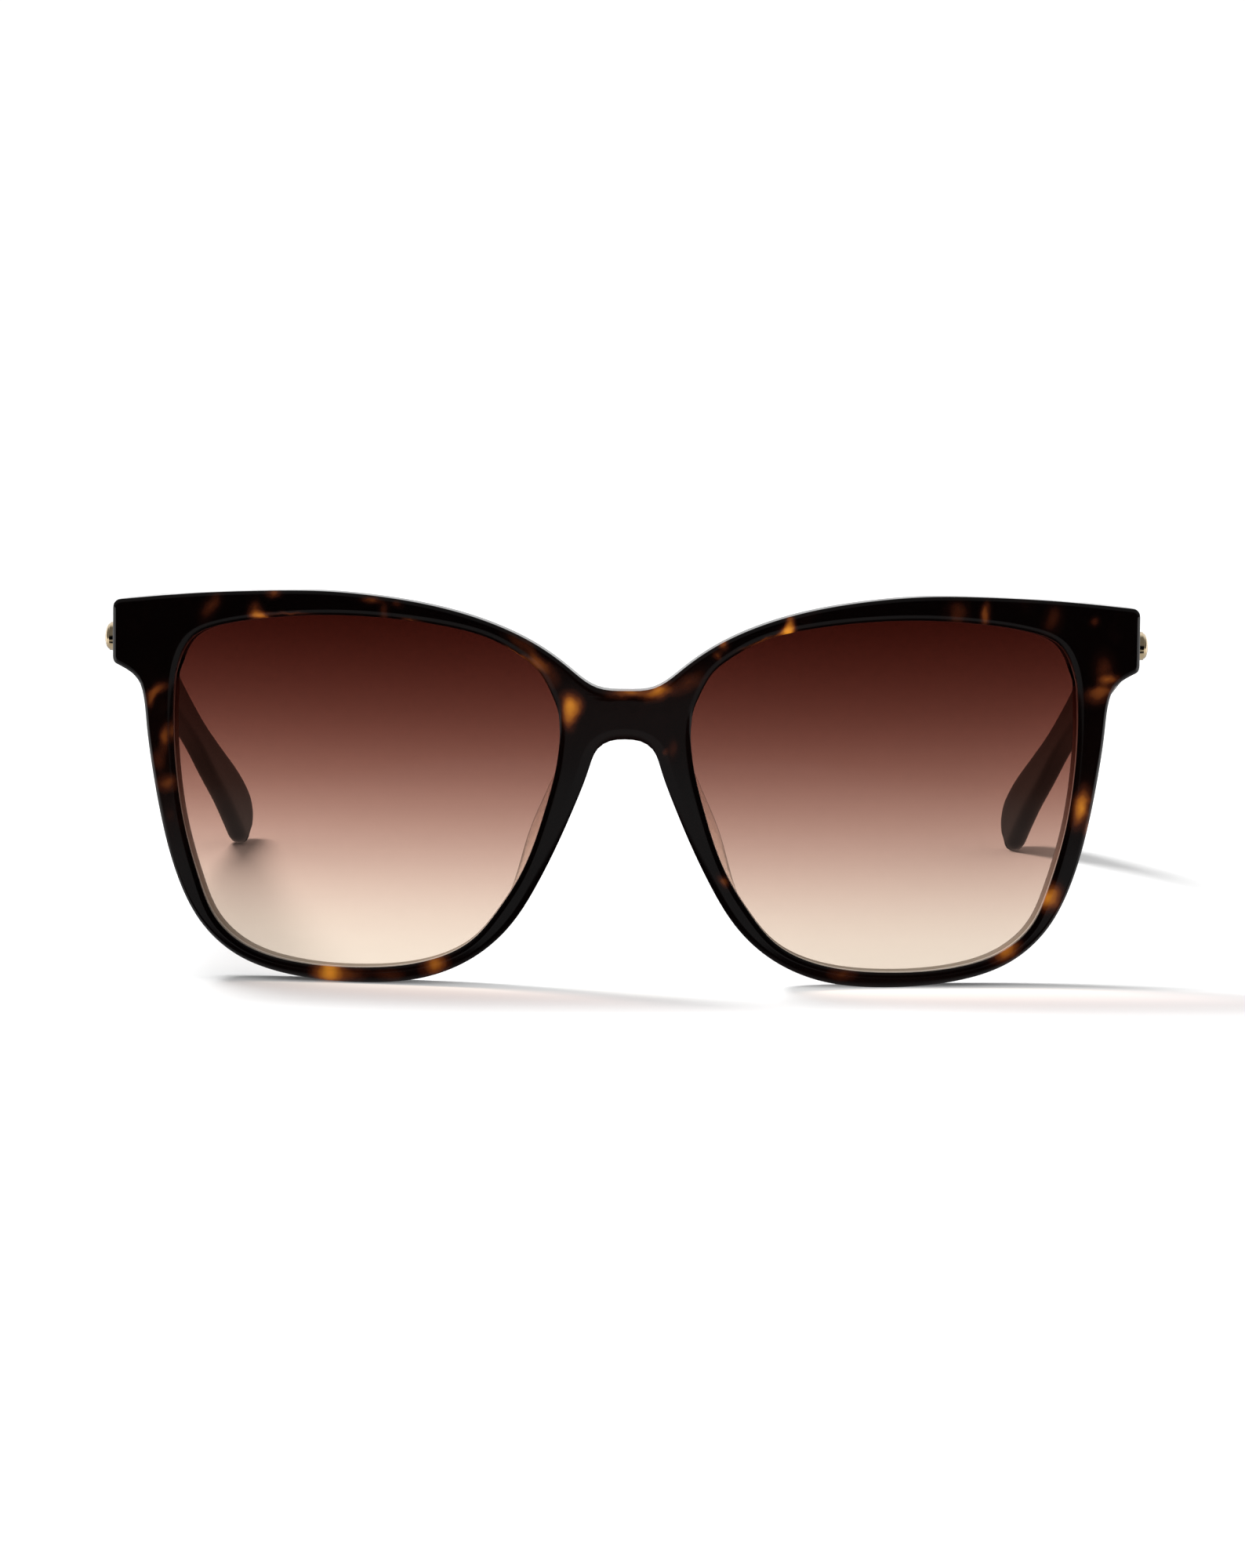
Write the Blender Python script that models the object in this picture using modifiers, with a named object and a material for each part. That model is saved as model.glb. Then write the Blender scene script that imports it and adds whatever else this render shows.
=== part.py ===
"""Cat eye sunglasses: acetate front, gradient lenses and two folding temples on five-barrel hinges.

Axes: the front faces -Y, the temples run back along +Y, +Z is up, and +X is the wearer's left.
The glasses stand open on the rims' lower edges and the temple tips, at Z = 0.
Shapes are worked out in millimetres on the wearer's left side (+X); the right side is its mirror image.
"""

import math

import bmesh
import bpy
import numpy as np
from mathutils import Matrix

MM = 0.001

# Where the bridge's front face lies, so that the whole object is centred on the origin in Y.
BRIDGE_Y = -69.83

# The front is a bent sheet: curved around the face, a little domed upwards, and leaning back.
WRAP_RADIUS = 300.0
RISE_RADIUS = 700.0
MID_HEIGHT = 27.0
LEAN = math.tan(math.radians(1.2))
SHEET = 4.2
BRIDGE_EXTRA = 0.7
BRIDGE_HALF = 11.0
STEP = 3.6

# How wide the lens opening's bevels are at the front and at the back of the sheet, how deep the outer
# edge's two bevels run, and how far the back one is inset, as a share of the front one's width.
RIM_FRONT_BEVEL = 0.65
RIM_BACK_BEVEL = 1.0
EDGE_FRONT_BEVEL = 0.45
EDGE_BACK_BEVEL = 0.4
EDGE_BACK_INSET = 0.5
BACK_FACE_ROWS = (0.0, 0.5, 0.8, 1.0)

# Rows along the rim, from the bridge over the brow to the endpiece:
# outer edge x and z, lens opening x and z, width of the front bevel.
BROW = [
    (0.0, 42.2, 10.4, 41.6, 1.1),
    (4.0, 42.6, 11.3, 43.4, 0.8),
    (8.0, 45.3, 12.5, 45.1, 0.5),
    (12.4, 48.4, 14.6, 46.8, 0.5),
    (17.5, 50.9, 18.2, 48.9, 0.5),
    (25.5, 53.4, 25.2, 50.9, 0.5),
    (34.5, 54.9, 34.0, 51.95, 0.5),
    (43.0, 55.5, 42.5, 52.15, 0.5),
    (52.0, 55.3, 50.5, 51.55, 0.5),
    (61.0, 54.7, 57.5, 50.3, 0.5),
    (71.55, 53.5, 61.55, 48.4, 0.5),
]
# The same from under the endpiece, down the side, along the bottom and up to the nose arch.
UNDERSIDE = [
    (72.15, 44.25, 63.7, 44.0, 0.5),
    (70.85, 43.6, 64.0, 42.2, 0.5),
    (69.35, 42.4, 64.1, 40.7, 0.5),
    (68.6, 40.6, 64.15, 38.8, 0.5),
    (68.0, 36.0, 64.1, 35.0, 0.5),
    (67.2, 30.0, 63.75, 30.0, 0.5),
    (65.7, 22.0, 62.55, 22.0, 0.5),
    (63.3, 13.8, 60.25, 13.7, 0.5),
    (60.25, 8.05, 58.1, 8.75, 0.5),
    (54.95, 3.35, 53.75, 4.85, 0.5),
    (48.1, 0.95, 47.7, 2.85, 0.5),
    (37.0, 0.0, 37.0, 2.15, 0.5),
    (27.6, 1.1, 28.2, 3.25, 0.5),
    (19.75, 5.0, 21.5, 6.45, 0.6),
    (15.7, 9.05, 17.8, 10.8, 0.8),
    (12.2, 14.7, 14.9, 15.4, 1.0),
    (9.4, 20.4, 12.7, 20.5, 1.1),
    (7.0, 26.0, 11.0, 26.0, 1.2),
    (5.0, 31.4, 9.6, 31.8, 1.3),
    (3.85, 34.0, 9.3, 34.2, 1.3),
    (2.15, 35.1, 9.2, 35.8, 1.3),
    (0.0, 35.35, 9.25, 37.2, 1.3),
]
OPENING_AT_BRIDGE = (9.55, 39.4)
END_X = 72.75
TOP_CORNER = (END_X, 53.35)
TOP_CORNER_FOOT = (END_X, 52.2)
LOW_CORNER = (END_X, 44.5)
LOW_CORNER_HEAD = (END_X, 45.4)

# Endpiece: the back of the sheet steps out to a flat joint face for the temple's butt.
JOINT_Y = 14.4
END_STEP_X = (63.4, 64.6)
END_STEP_Z = (41.0, 44.0)

# Lens: a dished sheet with a V edge that sits in the rim's groove.
LENS_CENTRE = (36.6, 27.3)
LENS_RADIUS = 160.0
LENS_DEPTH = 0.7
LENS_HALF = 1.0
GROOVE_DEPTH = 0.9
GROOVE_HALF = 1.25
GROOVE_FLOOR = 0.25
LENS_INSET = 0.05
LENS_RING = 0.55
LENS_TONGUE = 0.6
LENS_TONGUE_HALF = 0.2

# Hinge: a stack of five knuckles on a vertical pin.
PIN_X = 66.35
PIN_Y = JOINT_Y + 1.35
KNUCKLE_RADIUS = 1.2
PIN_HOLE = 0.62
PIN_RADIUS = 0.55
STACK_LOW = 45.3
FRONT_KNUCKLE = 1.2
TEMPLE_KNUCKLE = 1.1
KNUCKLE_GAP = 0.1
ROUND_SIDES = 20
LEAF_FIT = 0.2
PLATE_THICK = 1.0
FRONT_PLATE_X = (64.7, 70.4)
FRONT_PLATE_Z = (45.2, 51.6)
TEMPLE_PLATE_Z = (46.2, 50.4)
TEMPLE_PLATE_LONG = 7.6
TEMPLE_PLATE_DEEP = 0.9
WEB_GAP = 0.02

# The screw's profile above the knuckles: its head's radius and height, its edge rounding and its slot.
POINT_CHAMFER = 0.15
HEAD_GAP = 0.1
HEAD_RADIUS = 1.0
HEAD_HIGH = 0.5
HEAD_ROUND = (0.8, 0.35)
SLOT_DEEP = 0.25
SLOT_HALF = 0.15

# Temple: matching points along its upper and lower edges, as (y, z).
BUTT_Y = JOINT_Y + 0.25
TEMPLE_ROWS = [
    (BUTT_Y, 52.6, BUTT_Y, 45.0),
    (36.0, 46.1, 34.3, 39.9),
    (55.0, 40.1, 53.3, 34.5),
    (74.0, 34.1, 72.4, 28.8),
    (90.0, 28.3, 88.3, 23.9),
    (103.0, 23.2, 101.2, 18.8),
    (112.0, 19.8, 109.4, 14.7),
    (120.0, 16.7, 116.3, 11.1),
    (128.0, 13.3, 122.3, 7.8),
    (134.5, 9.8, 127.3, 4.6),
    (138.2, 6.5, 131.0, 2.1),
    (139.0, 3.7, 133.4, 0.6),
    (138.3, 1.9, 135.2, 0.0),
]
ROWS_PER_TEMPLE_SPAN = 2
TEMPLE_OUTER_X = 72.55
TEMPLE_THICK = 4.7
TIP_THICK = 3.0
THIN_Y = (20.0, 80.0)
TURN_IN_Y = (22.0, 28.0)
TURN_IN_SLOPE = 0.055
BEND_FROM_Y = 80.0
BEND_RATE = 0.00115
EDGE_CHAMFER = 0.8
CORE_RADIUS = 0.6
CORE_FIT = 0.2
CORE_ENDS = (BUTT_Y + 0.3, 122.0)

# Oval stud on the temple's outer face.
STUD_Y = 21.0
STUD_Z = 46.9
STUD_LONG = 8.0
STUD_HIGH = 4.0
STUD_PROUD = 1.9
STUD_RIM = 1.2
STUD_DOME = 0.9
STUD_GAP = 0.1
STUD_PIN_SPACING = 4.0
STUD_PIN_RADIUS = 0.45
STUD_PIN_LENGTH = 1.0
STUD_PIN_FIT = 0.15

# Nose pad: rows from its lower to its upper end, as z, then x at the root, the lens side and the nose side,
# and how far it stands behind the sheet.
PAD_ROWS = [
    (12.6, 15.4, 16.2, 14.8, 1.0),
    (15.0, 14.0, 15.3, 13.2, 3.0),
    (18.5, 12.2, 14.3, 11.2, 4.4),
    (22.5, 10.3, 13.0, 9.2, 4.8),
    (26.5, 8.7, 11.3, 7.6, 4.2),
    (29.3, 7.9, 10.1, 7.2, 2.8),
    (31.2, 8.0, 9.2, 7.7, 1.0),
]
PAD_GAP = 0.2
PAD_ROOT_EXTRA = 0.3
# A pad's section: shares of the root-to-lens width, from the root's x and then from the nose side's x,
# and shares of how far it stands behind the sheet.
PAD_LENS_SIDE = [(0.55, 0.0), (0.9, 0.35), (1.0, 0.75), (0.85, 1.0)]
PAD_NOSE_SIDE = [(0.55, 1.02), (0.1, 0.6)]

TORTOISE = ((0.03, 0.015, 0.01), 0.15, 0.0)
LENS_TINT = ((0.28, 0.14, 0.11), 0.03, 0.0)
CRYSTAL = ((0.75, 0.68, 0.62), 0.1, 0.0)
HINGE_STEEL = ((0.62, 0.60, 0.57), 0.3, 1.0)
GOLD = ((0.83, 0.62, 0.32), 0.2, 1.0)

SIDES = {"left": 1, "right": -1}


def clear_scene():
    for obj in list(bpy.data.objects):
        bpy.data.objects.remove(obj, do_unlink=True)


def new_collection(name):
    collection = bpy.data.collections.new(name)
    bpy.context.scene.collection.children.link(collection)
    return collection


def new_material(name, finish):
    colour, roughness, metallic = finish
    material = bpy.data.materials.new(name)
    material.use_nodes = True
    shader = material.node_tree.nodes["Principled BSDF"]
    shader.inputs["Base Color"].default_value = (*colour, 1.0)
    shader.inputs["Roughness"].default_value = roughness
    shader.inputs["Metallic"].default_value = metallic
    return material


def new_empty(name, x, y):
    """An empty on a vertical line through x, y, for the pieces that turn about it."""
    empty = bpy.data.objects.new(name, None)
    empty.location = (x * MM, (y + BRIDGE_Y) * MM, 0.0)
    parts.objects.link(empty)
    return empty


def new_object(name, shape, side, parent, finish):
    """Makes an object of a shape modelled in millimetres on the +X side, mirrored for the other side."""
    if side < 0:
        bmesh.ops.transform(shape, matrix=Matrix.Scale(-1, 4, (1, 0, 0)), verts=shape.verts)
        bmesh.ops.reverse_faces(shape, faces=shape.faces)
    bmesh.ops.transform(shape, matrix=Matrix.Scale(MM, 4), verts=shape.verts)
    mesh = bpy.data.meshes.new(name)
    shape.to_mesh(mesh)
    shape.free()
    mesh.shade_smooth()
    mesh.set_sharp_from_angle(angle=math.radians(35))
    obj = bpy.data.objects.new(name, mesh)
    obj.parent = parent
    obj.location = (-parent.location.x, BRIDGE_Y * MM - parent.location.y, 0.0)
    if finish is None:
        obj.hide_render = True
        obj.display_type = "WIRE"
        cutters.objects.link(obj)
    else:
        mesh.materials.append(new_material(name, finish))
        parts.objects.link(obj)
    return obj


def boolean(obj, other, operation):
    modifier = obj.modifiers.new(operation.lower(), "BOOLEAN")
    modifier.operation = operation
    modifier.object = other


def box_shape(low, high):
    shape = bmesh.new()
    bmesh.ops.create_cube(shape, size=1.0)
    size = [b - a for a, b in zip(low, high)]
    middle = [(a + b) / 2 for a, b in zip(low, high)]
    matrix = Matrix.Translation(middle) @ Matrix.Diagonal((*size, 1.0))
    bmesh.ops.transform(shape, matrix=matrix, verts=shape.verts)
    return shape


def cylinder_shape(x, y, z_low, z_high, radius, along="Z"):
    """A cylinder from z_low to z_high, or between those two places along X."""
    shape = bmesh.new()
    bmesh.ops.create_cone(
        shape, cap_ends=True, segments=ROUND_SIDES, radius1=radius, radius2=radius, depth=z_high - z_low
    )
    bmesh.ops.translate(shape, vec=(0, 0, (z_low + z_high) / 2), verts=shape.verts)
    if along == "X":
        turn = Matrix.Rotation(math.radians(90), 4, "Y")
        bmesh.ops.transform(shape, matrix=turn, verts=shape.verts)
        bmesh.ops.translate(shape, vec=(0, x, y), verts=shape.verts)
    else:
        bmesh.ops.translate(shape, vec=(x, y, 0), verts=shape.verts)
    return shape


def lofted(loops, closed=False, skip=()):
    """Faces between loops of matching points. skip holds (loop, point) places that stay open."""
    shape = bmesh.new()
    rings = [[shape.verts.new(point) for point in loop] for loop in loops]
    count = len(rings[0])
    pairs = list(zip(rings, rings[1:]))
    if closed:
        pairs.append((rings[-1], rings[0]))
    for number, (near, far) in enumerate(pairs):
        for i in range(count):
            if (number, i) in skip:
                continue
            j = (i + 1) % count
            shape.faces.new((near[i], near[j], far[j], far[i]))
    return shape, rings


def capped(loops):
    """A loft whose two end loops are closed by a face each."""
    shape, rings = lofted(loops)
    shape.faces.new(rings[0])
    shape.faces.new(reversed(rings[-1]))
    bmesh.ops.recalc_face_normals(shape, faces=shape.faces)
    return shape


def smooth_step(value, low, high):
    fraction = min(max((value - low) / (high - low), 0.0), 1.0)
    return fraction * fraction * (3 - 2 * fraction)


def natural_spline(knots):
    """A smooth curve through the knots, as a function of the knot's number."""
    points = np.array(knots, float)
    lengths = np.linalg.norm(np.diff(points, axis=0), axis=1)
    count = len(points)
    system = np.eye(count)
    right = np.zeros_like(points)
    for i in range(1, count - 1):
        before, after = lengths[i - 1], lengths[i]
        system[i, i - 1 : i + 2] = before, 2 * (before + after), after
        right[i] = 6 * ((points[i + 1] - points[i]) / after - (points[i] - points[i - 1]) / before)
    bends = np.linalg.solve(system, right)

    def at(number):
        i = min(int(number), count - 2)
        far = number - i
        near = 1 - far
        sag = (near**3 - near) * bends[i] + (far**3 - far) * bends[i + 1]
        return near * points[i] + far * points[i + 1] + lengths[i] ** 2 / 6 * sag

    return at


def sheet_y(x, z):
    """The front face of the bent sheet."""
    return x * x / (2 * WRAP_RADIUS) + (z - MID_HEIGHT) ** 2 / (2 * RISE_RADIUS) + LEAN * z


def endpiece(x, z):
    return smooth_step(x, *END_STEP_X) * smooth_step(z, *END_STEP_Z)


def in_sheet(x, z, depth):
    """The point at a depth behind the front face at x, z: the sheet's sides are square to its face."""
    sideways = -x / WRAP_RADIUS * (1 - endpiece(x, z))
    upwards = -((z - MID_HEIGHT) / RISE_RADIUS + LEAN)
    return (x + sideways * depth, sheet_y(x, z) + depth, z + upwards * depth)


def back_depth(x, z):
    """How far the back face lies behind the front face."""
    bridge = BRIDGE_EXTRA * (1 - smooth_step(x, 0.0, BRIDGE_HALF))
    depth = SHEET + bridge
    return depth + endpiece(x, z) * (JOINT_Y - sheet_y(x, z) - depth)


def lens_depth(x, z):
    """How far the middle of the lens lies behind the front face."""
    centre_x, centre_z = LENS_CENTRE
    east = x - centre_x
    up = z - centre_z
    dish = (east * east + up * up) / (2 * LENS_RADIUS)
    bend = east * east / (2 * WRAP_RADIUS) + up * up / (2 * RISE_RADIUS)
    return LENS_DEPTH + dish - bend


def quadratic_arc(start, corner, end, fraction):
    start, corner, end = (np.array(point) for point in (start, corner, end))
    near = 1 - fraction
    return near * near * start + 2 * near * fraction * corner + fraction * fraction * end


def rim_rows():
    """Points round one rim: outer edge, lens opening and bevel width, and where the bridge begins."""
    mirrored = [(-x, z) for x, z, *_ in BROW[2:0:-1]]
    brow = natural_spline(mirrored + [row[:2] for row in BROW])
    mirrored = [(-x, z) for x, z, *_ in UNDERSIDE[-2:-4:-1]]
    underside = natural_spline([row[:2] for row in UNDERSIDE] + mirrored)
    rows = BROW + UNDERSIDE
    openings = [row[2:4] for row in rows] + [OPENING_AT_BRIDGE]
    opening = natural_spline(openings[-3:] + openings + openings[:3])
    outer, inner, bevel = [], [], []

    def add(point, number, start, end, fraction):
        outer.append(np.array(point))
        inner.append(opening(number + 3))
        bevel.append(rows[start][4] * (1 - fraction) + rows[end][4] * fraction)

    def add_spans(curve, first, knots, shift):
        for knot in range(len(knots) - 1):
            here, there = np.array(knots[knot][:2]), np.array(knots[knot + 1][:2])
            pieces = max(1, round(np.linalg.norm(there - here) / STEP))
            for piece in range(pieces):
                fraction = piece / pieces
                start = first + knot
                add(curve(knot + shift + fraction), start + fraction, start, start + 1, fraction)

    add_spans(brow, 0, BROW, 2)
    last = len(BROW) - 1
    corner_share = 0.25
    for fraction in (0.0, 0.5):
        place = quadratic_arc(BROW[-1][:2], TOP_CORNER, TOP_CORNER_FOOT, fraction)
        add(place, last + corner_share * fraction, last, last, 0.0)
    for fraction in (0.0, 0.5):
        place = np.array(TOP_CORNER_FOOT) * (1 - fraction) + np.array(LOW_CORNER_HEAD) * fraction
        add(place, last + corner_share + 0.5 * fraction, last, last, 0.0)
    for fraction in (0.0, 0.5):
        place = quadratic_arc(LOW_CORNER_HEAD, LOW_CORNER, UNDERSIDE[0][:2], fraction)
        add(place, last + 1 - corner_share * (1 - fraction), last, last, 0.0)
    add_spans(underside, last + 1, UNDERSIDE, 0)
    edge_count = len(outer) + 1
    end = len(rows) - 1
    for share in (0.0, 1.0):
        place = np.array(UNDERSIDE[-1][:2]) * (1 - share / 2) + np.array(BROW[0][:2]) * share / 2
        add(place, end + share, end, end, 0.0)
    return np.array(outer), np.array(inner), np.array(bevel), edge_count


def outward(points):
    """Unit normals of a closed loop that runs anticlockwise seen from the front."""
    along = np.roll(points, -1, axis=0) - np.roll(points, 1, axis=0)
    normals = np.stack([along[:, 1], -along[:, 0]], axis=1)
    return normals / np.linalg.norm(normals, axis=1)[:, None]


def front_shape():
    """The half of the front at +X, open at the middle plane."""
    outer, inner, bevel, edge_count = rim_rows()
    count = len(outer)
    outer_normals = -outward(outer)
    outer_normals[0] = (0, 1)
    outer_normals[edge_count - 1] = (0, -1)
    inner_normals = -outward(inner)

    def edge(inset):
        points = outer - outer_normals * (bevel * inset)[:, None]
        low, high = points[edge_count - 1], points[0]
        for i in range(edge_count, count):
            share = (i - edge_count + 1) / (count - edge_count + 1)
            points[i] = low * (1 - share) + high * share
        return points

    def opening(offset):
        return inner + inner_normals * offset

    def place(points, depth):
        return [in_sheet(x, z, depth(x, z)) for x, z in points]

    face_edge = edge(1.0)
    rim_back = opening(RIM_BACK_BEVEL)
    back_edge = edge(EDGE_BACK_INSET)
    loops = [
        place(opening(GROOVE_DEPTH), lambda x, z: lens_depth(x, z) - GROOVE_FLOOR),
        place(opening(0.0), lambda x, z: lens_depth(x, z) - GROOVE_HALF),
        place(opening(RIM_FRONT_BEVEL), lambda x, z: 0.0),
        place(face_edge, lambda x, z: 0.0),
        place(edge(0.0), lambda x, z: EDGE_FRONT_BEVEL),
        place(edge(0.0), lambda x, z: back_depth(x, z) - EDGE_BACK_BEVEL),
        *[place(back_edge * (1 - share) + rim_back * share, back_depth) for share in BACK_FACE_ROWS],
        place(opening(0.0), lambda x, z: lens_depth(x, z) + GROOVE_HALF),
        place(opening(GROOVE_DEPTH), lambda x, z: lens_depth(x, z) + GROOVE_FLOOR),
    ]
    wall_strips = (3, 4, 5)
    skip = {(strip, i) for strip in wall_strips for i in range(edge_count - 1, count)}
    shape, _ = lofted(loops, closed=True, skip=skip)
    bmesh.ops.recalc_face_normals(shape, faces=shape.faces)
    return shape


def make_front(body):
    front = new_object("front", front_shape(), 1, body, TORTOISE)
    mirror = front.modifiers.new("mirror", "MIRROR")
    mirror.merge_threshold = 0.0001
    for side_name, side in SIDES.items():
        low, high = front_plate()
        low = [value - LEAF_FIT for value in low]
        high = [value + LEAF_FIT for value in high]
        high[1] = JOINT_Y + PLATE_THICK
        pocket = new_object("pocket_" + side_name, box_shape(low, high), side, body, None)
        boolean(front, pocket, "DIFFERENCE")


def lens_shape():
    _, inner, _, _ = rim_rows()
    normals = -outward(inner)
    centre = np.array(LENS_CENTRE)
    edge = inner - normals * LENS_INSET

    def place(points, offset):
        return [in_sheet(x, z, lens_depth(x, z) + offset) for x, z in points]

    halfway = centre + (edge - centre) * LENS_RING
    tongue = inner + normals * LENS_TONGUE
    loops = [
        place(halfway, -LENS_HALF),
        place(edge, -LENS_HALF),
        place(tongue, -LENS_TONGUE_HALF),
        place(tongue, LENS_TONGUE_HALF),
        place(edge, LENS_HALF),
        place(halfway, LENS_HALF),
    ]
    shape, rings = lofted(loops)
    for ring, offset in ((rings[0], -LENS_HALF), (rings[-1], LENS_HALF)):
        pole = shape.verts.new(place([centre], offset)[0])
        for i, vertex in enumerate(ring):
            shape.faces.new((vertex, ring[i - 1], pole))
    bmesh.ops.recalc_face_normals(shape, faces=shape.faces)
    return shape


def pad_shape():
    """A clear pad behind the nose side of the rim: narrow at its root, flared towards the lens."""
    loops = []
    for z, root_x, lens_x, nose_x, stand in PAD_ROWS:
        width = lens_x - root_x
        back = back_depth(root_x, z) + sheet_y(root_x, z)
        outline = [(root_x - PAD_ROOT_EXTRA, 0.0)]
        outline += [(root_x + across * width, deep * stand) for across, deep in PAD_LENS_SIDE]
        outline += [(nose_x + across * width, deep * stand) for across, deep in PAD_NOSE_SIDE]
        loops.append([(x, back + PAD_GAP + back_rise(x, root_x, z) + depth, z) for x, depth in outline])
    return capped(loops)


def back_rise(x, root_x, z):
    """The back face's own slope beside the pad's root, which the pad's root follows."""
    return max(0.0, back_depth(x, z) + sheet_y(x, z) - back_depth(root_x, z) - sheet_y(root_x, z))


def stack_heights():
    """Lower and upper ends of the five knuckles: front, temple, front, temple, front."""
    heights = []
    z = STACK_LOW
    for number in range(5):
        height = FRONT_KNUCKLE if number % 2 == 0 else TEMPLE_KNUCKLE
        heights.append((z, z + height))
        z += height + KNUCKLE_GAP
    return heights


def front_plate():
    low = [FRONT_PLATE_X[0], JOINT_Y - PLATE_THICK, FRONT_PLATE_Z[0]]
    high = [FRONT_PLATE_X[1], JOINT_Y, FRONT_PLATE_Z[1]]
    return low, high


def temple_plate():
    near = PIN_Y + PLATE_THICK
    low = [PIN_X + PLATE_THICK, near, TEMPLE_PLATE_Z[0]]
    high = [temple_inner_x(PIN_Y) + TEMPLE_PLATE_DEEP, near + TEMPLE_PLATE_LONG, TEMPLE_PLATE_Z[1]]
    return low, high


def make_leaf(name, side, body, plate, knuckles, web_low, web_high):
    """A hinge leaf: a plate joined by webs to its knuckles, drilled for the pin."""
    leaf = new_object(name, box_shape(*plate), side, body, HINGE_STEEL)
    for number, (z_low, z_high) in enumerate(knuckles):
        web = box_shape((*web_low, z_low + WEB_GAP), (*web_high, z_high - WEB_GAP))
        barrel = cylinder_shape(PIN_X, PIN_Y, z_low, z_high, KNUCKLE_RADIUS)
        boolean(leaf, new_object(f"{name}_web_{number}", web, side, body, None), "UNION")
        boolean(leaf, new_object(f"{name}_barrel_{number}", barrel, side, body, None), "UNION")
    low, high = STACK_LOW - KNUCKLE_RADIUS, stack_heights()[-1][1] + KNUCKLE_RADIUS
    hole = cylinder_shape(PIN_X, PIN_Y, low, high, PIN_HOLE)
    boolean(leaf, new_object(name + "_hole", hole, side, body, None), "DIFFERENCE")


def screw_shape():
    """A turned pin with a low head, from a profile turned about the hinge's axis."""
    head = stack_heights()[-1][1] + HEAD_GAP
    point = STACK_LOW + HEAD_GAP
    profile = [
        (0.0, point),
        (PIN_RADIUS - POINT_CHAMFER, point),
        (PIN_RADIUS, point + POINT_CHAMFER),
        (PIN_RADIUS, head),
        (HEAD_RADIUS, head),
        (HEAD_RADIUS, head + HEAD_ROUND[1]),
        (HEAD_ROUND[0], head + HEAD_HIGH),
        (0.0, head + HEAD_HIGH),
    ]
    shape = bmesh.new()
    verts = [shape.verts.new((radius, 0.0, z)) for radius, z in profile]
    edges = [shape.edges.new(pair) for pair in zip(verts, verts[1:])]
    bmesh.ops.spin(
        shape,
        geom=verts + edges,
        axis=(0, 0, 1),
        cent=(0, 0, 0),
        angle=math.tau,
        steps=ROUND_SIDES,
    )
    bmesh.ops.remove_doubles(shape, verts=shape.verts, dist=0.001)
    bmesh.ops.recalc_face_normals(shape, faces=shape.faces)
    bmesh.ops.translate(shape, vec=(PIN_X, PIN_Y, 0), verts=shape.verts)
    return shape


def make_hinge(side_name, side, front_body, temple_body):
    heights = stack_heights()
    make_leaf(
        "front_hinge_leaf_" + side_name,
        side,
        front_body,
        front_plate(),
        heights[0::2],
        (PIN_X - 1.0, JOINT_Y - 0.5),
        (PIN_X + 1.0, PIN_Y),
    )
    make_leaf(
        "temple_hinge_leaf_" + side_name,
        side,
        temple_body,
        temple_plate(),
        heights[1::2],
        (PIN_X - 0.7, PIN_Y + 0.15),
        (PIN_X + 1.2, PIN_Y + 2.2),
    )
    name = "hinge_screw_" + side_name
    screw = new_object(name, screw_shape(), side, front_body, HINGE_STEEL)
    top = heights[-1][1] + HEAD_GAP + HEAD_HIGH
    low = (PIN_X - 2 * HEAD_RADIUS, PIN_Y - SLOT_HALF, top - SLOT_DEEP)
    slot = box_shape(low, (PIN_X + 2 * HEAD_RADIUS, PIN_Y + SLOT_HALF, top + 1))
    boolean(screw, new_object(name + "_slot", slot, side, front_body, None), "DIFFERENCE")


def temple_outer_x(y):
    """The outer face: square to the front at the joint, then leaning in, then bending in towards the tip."""
    start, end = TURN_IN_Y
    turning = min(max(y - start, 0.0), end - start)
    leaning = turning * turning / (2 * (end - start)) + max(y - end, 0.0)
    bending = max(y - BEND_FROM_Y, 0.0)
    return TEMPLE_OUTER_X - TURN_IN_SLOPE * leaning - BEND_RATE * bending * bending


def temple_thickness(y):
    share = smooth_step(y, *THIN_Y)
    return TEMPLE_THICK * (1 - share) + TIP_THICK * share


def temple_inner_x(y):
    return temple_outer_x(y) - temple_thickness(y)


def temple_sections():
    """Upper and lower edge points along the temple, from the butt to the tip."""
    upper = natural_spline([row[:2] for row in TEMPLE_ROWS])
    lower = natural_spline([row[2:] for row in TEMPLE_ROWS])
    count = (len(TEMPLE_ROWS) - 1) * ROWS_PER_TEMPLE_SPAN + 1
    numbers = [i / ROWS_PER_TEMPLE_SPAN for i in range(count)]
    return [(upper(number), lower(number)) for number in numbers]


def temple_shape():
    loops = []
    for upper, lower in temple_sections():
        height = np.linalg.norm(upper - lower)
        rise = (upper - lower) / height
        chamfer = min(EDGE_CHAMFER, height / 5)
        shoulder_low = lower + rise * chamfer
        shoulder_high = upper - rise * chamfer

        def at(point, share, step):
            y, z = point
            x = temple_inner_x(y) + temple_thickness(y) * share + step
            return (x, y, max(z, 0.0))

        loops.append(
            [
                at(shoulder_low, 0, 0),
                at(shoulder_high, 0, 0),
                at(upper, 0, chamfer),
                at(upper, 1, -chamfer),
                at(shoulder_high, 1, 0),
                at(shoulder_low, 1, 0),
                at(lower, 1, -chamfer),
                at(lower, 0, chamfer),
            ]
        )
    return capped(loops)


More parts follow.
